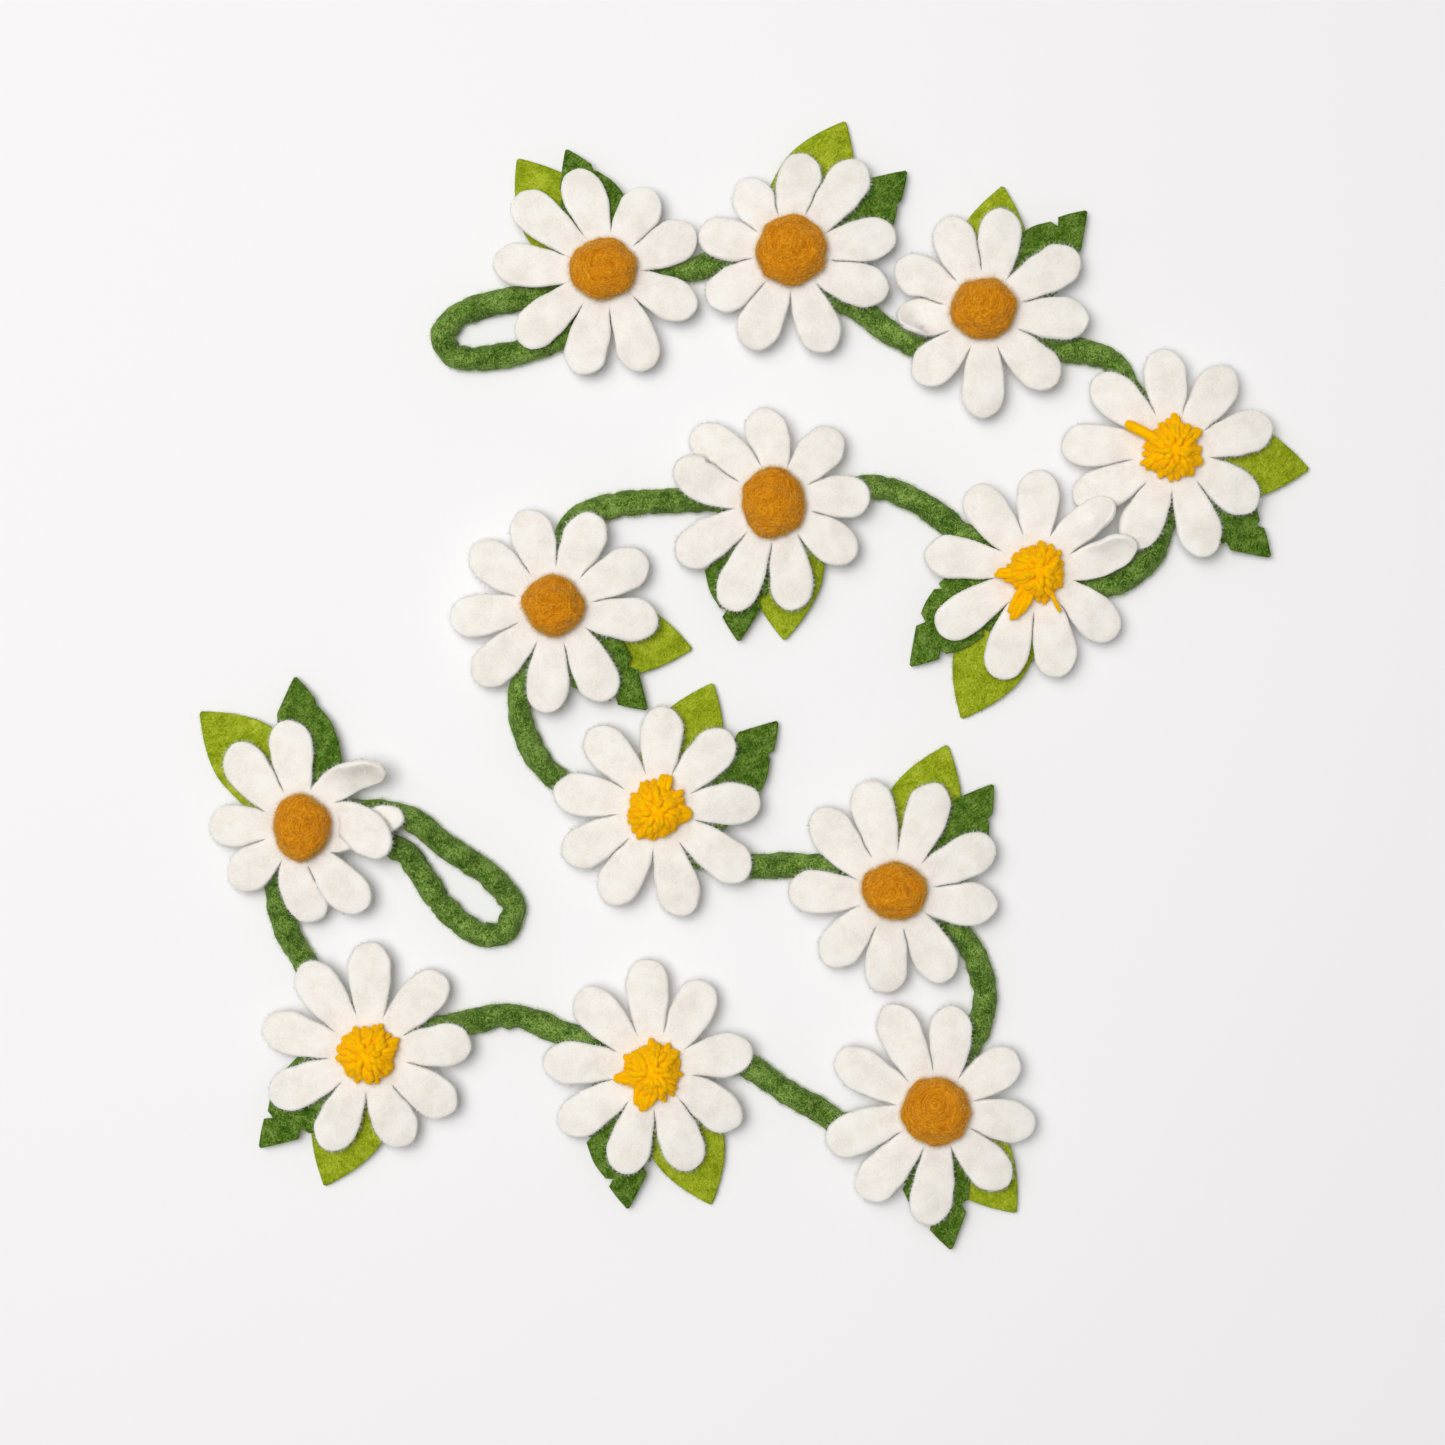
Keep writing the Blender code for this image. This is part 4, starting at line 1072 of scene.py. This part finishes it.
def ball_surface(number, flower, angle, level):
    """A point on the ball at an angle about its axis and a level from 0, its foot, to 1, its top.

    The profile gives the share of the half width and of the height, and three lumps widen it.
    """
    place = level * (len(ball_profile) - 1)
    wide, high = (np.interp(place, np.arange(len(ball_profile)), column) for column in ball_profile.T)
    lump = BALL_SNUG * (1.0 + BALL_LUMP * np.sin(3.0 * angle + number) * high)
    x = 0.5 * flower["centre"][0] * wide * lump * np.cos(angle)
    y = 0.5 * flower["centre"][1] * wide * lump * np.sin(angle)
    point = np.stack(np.broadcast_arrays(x, y, CENTRE_BASE + BALL_HEIGHT * high), axis=-1)
    out = unit(point - UP * (CENTRE_BASE + BALL_MIDDLE * BALL_HEIGHT))
    point = point + flower["middle"]
    return point + out * (lumpiness(point, BALL_WAVES) * smoothstep(level / FOOT_FADE))[..., None]


def dome(angle, level):
    """A point on a half ball of radius 1, at an angle about its axis and a level from 0 to 1."""
    rise = 0.5 * np.pi * level
    return np.stack(np.broadcast_arrays(
        np.cos(rise) * np.cos(angle), np.cos(rise) * np.sin(angle), np.sin(rise)), axis=-1)


def closed_below(grid, foot):
    """The grid with one more row before its first, whose points all lie at the foot."""
    return np.concatenate([np.broadcast_to(foot, (1, *grid.shape[1:])), grid])


print("points in the ball's profile:", len(ball_profile))

# %% Wound wool, and the balls themselves
BALL_SEED = 400
WINDING_TURNS = 32.0
WINDING_SIDE = 1.8
WINDING_WAVES = ((0.05, 1.0, 53),)
BALL_LEAN = 0.3  # how far the winding's axis may lean
STRANDS = 160
STRAND_RADIUS = 0.17
STRAND_SIZES = (0.6, 1.3)
STRAND_POINTS = 9
STRAND_ARC = (0.7, 2.2)  # in radians, as is the next
STRAND_OFF = (0.15, 1.35)
STRAND_LEVELS = (0.03, 0.999)
LOOSE_EVERY = 4
LOOSE = 0.6
TIGHT = 0.16


def ball_winding(angle, level, lean):
    """A vector that changes quickly from one turn of wool to the next and slowly along it.

    It holds the point's place beside the axis, and WINDING_TURNS times its angle from the axis.
    """
    point = dome(angle, level)
    from_axis = np.arccos(np.clip(point @ lean / np.linalg.norm(lean), -1.0, 1.0))
    turns = WINDING_TURNS * (from_axis + lumpiness(point, WINDING_WAVES))
    return np.concatenate([WINDING_SIDE * point[..., :2], turns[..., None]], axis=-1)


def ball_strands(number, flower, count, rng):
    """Arcs of small circles about tilted axes, laid on the ball's surface.

    On a unit half ball a strand is cos d (cos t a + sin t b) + sin d c, where c is its axis and
    d how far from that axis's great circle it runs. Its angle and level then place it here.
    """
    lean = heading_vector(rng.uniform(0.0, 90.0)) * BALL_LEAN + UP
    loose = np.where(np.arange(count) % LOOSE_EVERY == 0, LOOSE, TIGHT)[:, None]
    axis = unit(lean + rng.normal(size=(count, 3)) * loose)
    a = unit(np.cross(axis, rng.normal(size=(count, 3))))
    b = np.cross(axis, a)
    off = rng.uniform(*STRAND_OFF, (count, 1, 1))
    arc = np.linspace(0.0, 1.0, STRAND_POINTS) * rng.uniform(*STRAND_ARC, (count, 1))
    sweep = np.cos(arc)[..., None] * a[:, None] + np.sin(arc)[..., None] * b[:, None]
    point = np.cos(off) * sweep + np.sin(off) * axis[:, None]
    angle = np.arctan2(point[..., 1], point[..., 0])
    level = np.arcsin(np.clip(point[..., 2], *STRAND_LEVELS)) / (np.pi / 2.0)
    return ball_surface(number, flower, angle, level)


angles = circle(BALL_SIDES)[None, :]
levels = np.linspace(0.0, 1.0, BALL_LEVELS)[:, None]
for number, flower in enumerate(FLOWERS, start=1):
    if flower["centre"] is None:
        continue
    rng = np.random.default_rng(BALL_SEED + number)
    grid = ball_surface(number, flower, angles, levels)
    grid = closed_below(grid, flower["middle"] + CENTRE_BASE * UP)
    lean = np.array([*rng.uniform(-BALL_LEAN, BALL_LEAN, 2), 1.0])
    winding = ball_winding(angles, levels, lean)
    winding = np.concatenate([winding[:1], winding])
    paths = ball_strands(number, flower, STRANDS, rng)
    radii = STRAND_RADIUS * rng.uniform(*STRAND_SIZES, (STRANDS, 1)) * np.ones(STRAND_POINTS)
    strands = tubes(paths, radii, 3)
    dress("ball", number, grid, [grid_faces(*grid.shape[:2])], winding, strands)
print("half balls:", sum(f["centre"] is not None for f in FLOWERS))

# %% [markdown]
# ## Yarn pompoms
# Five daisies have a pompom: a bundle of cut yarn ends, tied in the middle. Its ends stand out all
# over a dome, lean on each other, and a few long ones lie out over the petals. Each end is a
# round tube along its own bent path, and the paths start together inside the tied core.

# %% The yarn ends
POMPOM_SEED = 600
POMPOM_CORE_HEIGHT = 2.2
POMPOM_CORE_WIDE = 0.7
POMPOM_LOW = 0.9
YARN_THICK = 2.7
YARN_SIDES = 7
MIDDLE_SIZE = (10.2, 10.2, 10.5)
MIDDLE_SIDES = 36
MIDDLE_LEVELS = 13
# The yarn ends lie in rounds over each other. For each, lowest first: how far out the ends
# reach, how high their tips hang, how high they are thrown up, and how many they are.
YARN_ROUNDS = np.array([
    (11.7, 1.2, 9.0, 32), (10.8, 3.2, 14.0, 34), (8.8, 6.0, 17.5, 20), (5.6, 9.6, 19.0, 8)])
LOBES = ((0.06, 3.0, 1.0), (0.05, 7.0, 2.0))  # each round's waves: height, how many, and turn
# How much they differ: steps apart, reach, throw, thickness, and sideways at knee and tip.
YARN_STEPS = 0.35
YARN_REACH = (0.84, 1.06)
YARN_THROW = (0.88, 1.08)
YARN_SIZES = (0.8, 1.1)
KNEE_ASIDE = 1.3
TIP_ASIDE = 0.8
# Places along a yarn end, and its thickness there: it stays thick and then ends round.
YARN_PLACES = np.array([0.0, 0.02, 0.3, 0.6, 0.86, 0.94, 0.98, 1.0])
YARN_SWELL = np.array([0.0, 0.6, 0.85, 1.0, 1.0, 0.84, 0.5, 0.0])
# A finish reads these: change along an end, from one end to the next, round it, and inside.
WINDING_ALONG = 5.0
WINDING_STEP = 9.0
WINDING_ROUND = 3.5
WINDING_INSIDE = 0.7
# The long ends of each pompom: heading, reach, strands side by side, and how thick each is.
STRAYS = {
    4: ((148, 23.0, 1, 4.4), (84, 15.5, 2, 3.2), (37, 15.5, 2, 2.7), (-22, 13.5, 2, 2.7)),
    5: ((181, 17.0, 2, 2.7), (243, 22.0, 4, 2.5), (-58, 18.5, 1, 1.8)),
    8: ((72, 16.5, 3, 2.5), (-7, 16.0, 4, 2.5), (35, 13.0, 1, 3.0)),
    11: ((192, 17.5, 2, 2.6), (254, 18.0, 5, 2.5), (40, 14.0, 2, 2.7)),
    12: ((22, 14.5, 2, 2.7),),
}
# For each corner of a long end: how far out, how far from the next strand, and how high.
STRAY_CORNERS = ((0.0, 0.0, 4.0), (0.55, 1.7, 6.0), (1.0, 1.2, 1.98))
STRAY_SHORTER = 0.09  # for each strand away from the middle one
STRAY_REACH = (0.9, 1.0)
STRAY_JITTER = 0.25
STRAY_STEPS = 12


def yarn_paths(number, rng):
    """Paths of the yarn ends: each rises out of the core, arches over and hangs outwards.

    It is the curve (1-t)^2 A + 2 t (1-t) B + t^2 C, with A in the core, C at the end's tip,
    and B high above the middle between them.
    """
    reach, tip_height, throw, count = np.repeat(YARN_ROUNDS, YARN_ROUNDS[:, 3].astype(int), axis=0).T
    total = len(reach)
    turn = 2.0 * np.pi * (np.arange(total) + rng.uniform(-YARN_STEPS, YARN_STEPS, total)) / count
    lobes = 1.0 + sum(high * np.sin(waves * turn + shift * number) for high, waves, shift in LOBES)
    out = heading_vector(np.degrees(turn))
    side = np.cross(UP, out)
    tip = out * (reach * lobes * rng.uniform(*YARN_REACH, total))[:, None]
    knee = 0.5 * tip + side * rng.normal(size=(total, 1)) * KNEE_ASIDE
    tip = tip + side * rng.normal(size=(total, 1)) * TIP_ASIDE + UP * tip_height[:, None]
    knee = knee + UP * (throw * rng.uniform(*YARN_THROW, total))[:, None]
    root = rng.normal(size=(total, 3)) * (1.0 - UP) * POMPOM_CORE_WIDE + UP * POMPOM_CORE_HEIGHT
    t = YARN_PLACES[None, :, None]
    curve = (1.0 - t) ** 2 * root[:, None] + 2.0 * t * (1.0 - t) * knee[:, None] + t**2 * tip[:, None]
    return curve, YARN_THICK * rng.uniform(*YARN_SIZES, total)


def stray_paths(number, rng):
    """The long ends: up out of the core, then down on to the petals, side by side."""
    paths, thick = [], []
    for heading, reach, strands, wide in STRAYS[number]:
        out, side = heading_vector(heading), heading_vector(heading + 90.0)
        for place in np.arange(strands) - 0.5 * (strands - 1):
            long = reach * (1.0 - STRAY_SHORTER * abs(place)) * rng.uniform(*STRAY_REACH)
            corners = np.array(STRAY_CORNERS) @ [out * long, side * place, UP]
            line = smooth_line(corners + rng.normal(size=(3, 3)) * STRAY_JITTER, STRAY_STEPS)
            along = YARN_PLACES * (len(line) - 1)
            paths.append(np.column_stack([np.interp(along, np.arange(len(line)), c) for c in line.T]))
            thick.append(wide)
    return np.array(paths), np.array(thick)


def yarn_winding(count):
    """A vector that changes slowly along each yarn end and quickly round it, in fine streaks.

    It holds the place along the end, with a step from one end to the next, and then the cosine
    and the sine of the angle round it.
    """
    along = np.concatenate([[0.0], np.repeat(YARN_PLACES[1:-1], YARN_SIDES), [1.0]])
    turn = circle(YARN_SIDES)
    ring = WINDING_ROUND * np.column_stack([np.cos(turn), np.sin(turn)])
    around = np.concatenate([[(0.0, 0.0)], np.tile(ring, (len(YARN_PLACES) - 2, 1)), [(0.0, 0.0)]])
    place = WINDING_STEP * np.arange(count)[:, None] + WINDING_ALONG * along
    return np.column_stack([place.ravel(), np.tile(around, (count, 1))])


def dense_middle():
    """The inside of the bundle, where yarn is packed tight: half an oval body, round its axis."""
    body = dome(circle(MIDDLE_SIDES)[None, :], np.linspace(0.0, 1.0, MIDDLE_LEVELS)[:, None])
    return closed_below(body * MIDDLE_SIZE + POMPOM_LOW * UP, POMPOM_LOW * UP)


for number, flower in enumerate(FLOWERS, start=1):
    if flower["centre"] is not None:
        continue
    rng = np.random.default_rng(POMPOM_SEED + number)
    bundles = zip(yarn_paths(number, rng), stray_paths(number, rng))
    paths, thick = (np.concatenate(both) for both in bundles)
    paths[..., 2] = np.maximum(paths[..., 2], POMPOM_LOW)
    points, faces = tubes(paths, 0.5 * thick[:, None] * YARN_SWELL, YARN_SIDES)
    middle = dense_middle()
    faces.append(len(points) + grid_faces(*middle.shape[:2]))
    middle = middle.reshape(-1, 3)
    winding = np.concatenate([yarn_winding(len(paths)), WINDING_INSIDE * middle])
    points = np.concatenate([points, middle]) + flower["middle"] + CENTRE_BASE * UP
    dress("pompom", number, points, faces, winding)
print("pompoms:", len(STRAYS))

# %% [markdown]
# ## Table and light
# The table is plain and nearly white. A wide lamp high over the garland, a little to its left,
# lights it nearly flat, so most shadows hide under the petals. A second lamp at the upper left
# gives the balls and petals their form and draws their soft shadows to the lower right, and a
# faint sky fills the rest.

# %% Floor, lamps and sky
FLOOR_SIZE = 6000.0
FLOOR_COLOUR = (0.905, 0.890, 0.896, 1.0)
floor_material, floor_shader = new_material(
    "table_white", roughness=0.9, sheen=0.0, sheen_tint=(1.0, 1.0, 1.0))
fill(floor_shader, Base_Color=FLOOR_COLOUR)
floor_mesh = bpy.data.meshes.new("table")
corners = np.array([(-1, -1, 0), (1, -1, 0), (1, 1, 0), (-1, 1, 0)]) * 0.5 * FLOOR_SIZE * MM
floor_mesh.from_pydata(corners.tolist(), [], [(0, 1, 2, 3)])
floor_mesh.materials.append(floor_material)
floor = bpy.data.objects.new("table", floor_mesh)
bpy.context.scene.collection.objects.link(floor)

# Each lamp: where it hangs, how wide its disc is, and its power in watts.
LAMPS = {
    "window_lamp": ((-750.0, 560.0, 2300.0), 1500.0, 15.0),
    "overhead_lamp": ((-400.0, 140.0, 2700.0), 1300.0, 47.9),
}


def aim_down(place):
    """A lamp shines along its own -Z: tip it by its angle from the vertical, then turn it."""
    x, y, z = place
    return (np.arctan2(np.hypot(x, y), z), 0.0, np.arctan2(-y, -x) - np.pi / 2.0)


for name, (place, size, power) in LAMPS.items():
    lamp_data = bpy.data.lights.new(name, "AREA")
    lamp_data.shape = "DISK"
    lamp_data.size = size * MM
    lamp_data.energy = power
    lamp = bpy.data.objects.new(name, lamp_data)
    lamp.location = [v * MM for v in place]
    lamp.rotation_euler = aim_down(place)
    bpy.context.scene.collection.objects.link(lamp)

SKY_STRENGTH = 0.19
world = bpy.data.worlds.new("studio")
world.use_nodes = True
fill(world.node_tree.nodes["Background"], Color=(1.0, 1.0, 1.0, 1.0), Strength=SKY_STRENGTH)
bpy.context.scene.world = world
bpy.context.scene.view_settings.view_transform = "Standard"
print("lamps:", len(LAMPS), "sky:", SKY_STRENGTH)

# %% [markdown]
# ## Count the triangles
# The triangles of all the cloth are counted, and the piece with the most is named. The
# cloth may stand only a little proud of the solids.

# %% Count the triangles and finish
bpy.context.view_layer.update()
triangles = {o.name: len(o.data.loops) - 2 * len(o.data.polygons) for o in made}
print("triangles:", sum(triangles.values()), "most in one:", max(triangles.items(), key=lambda t: t[1]))
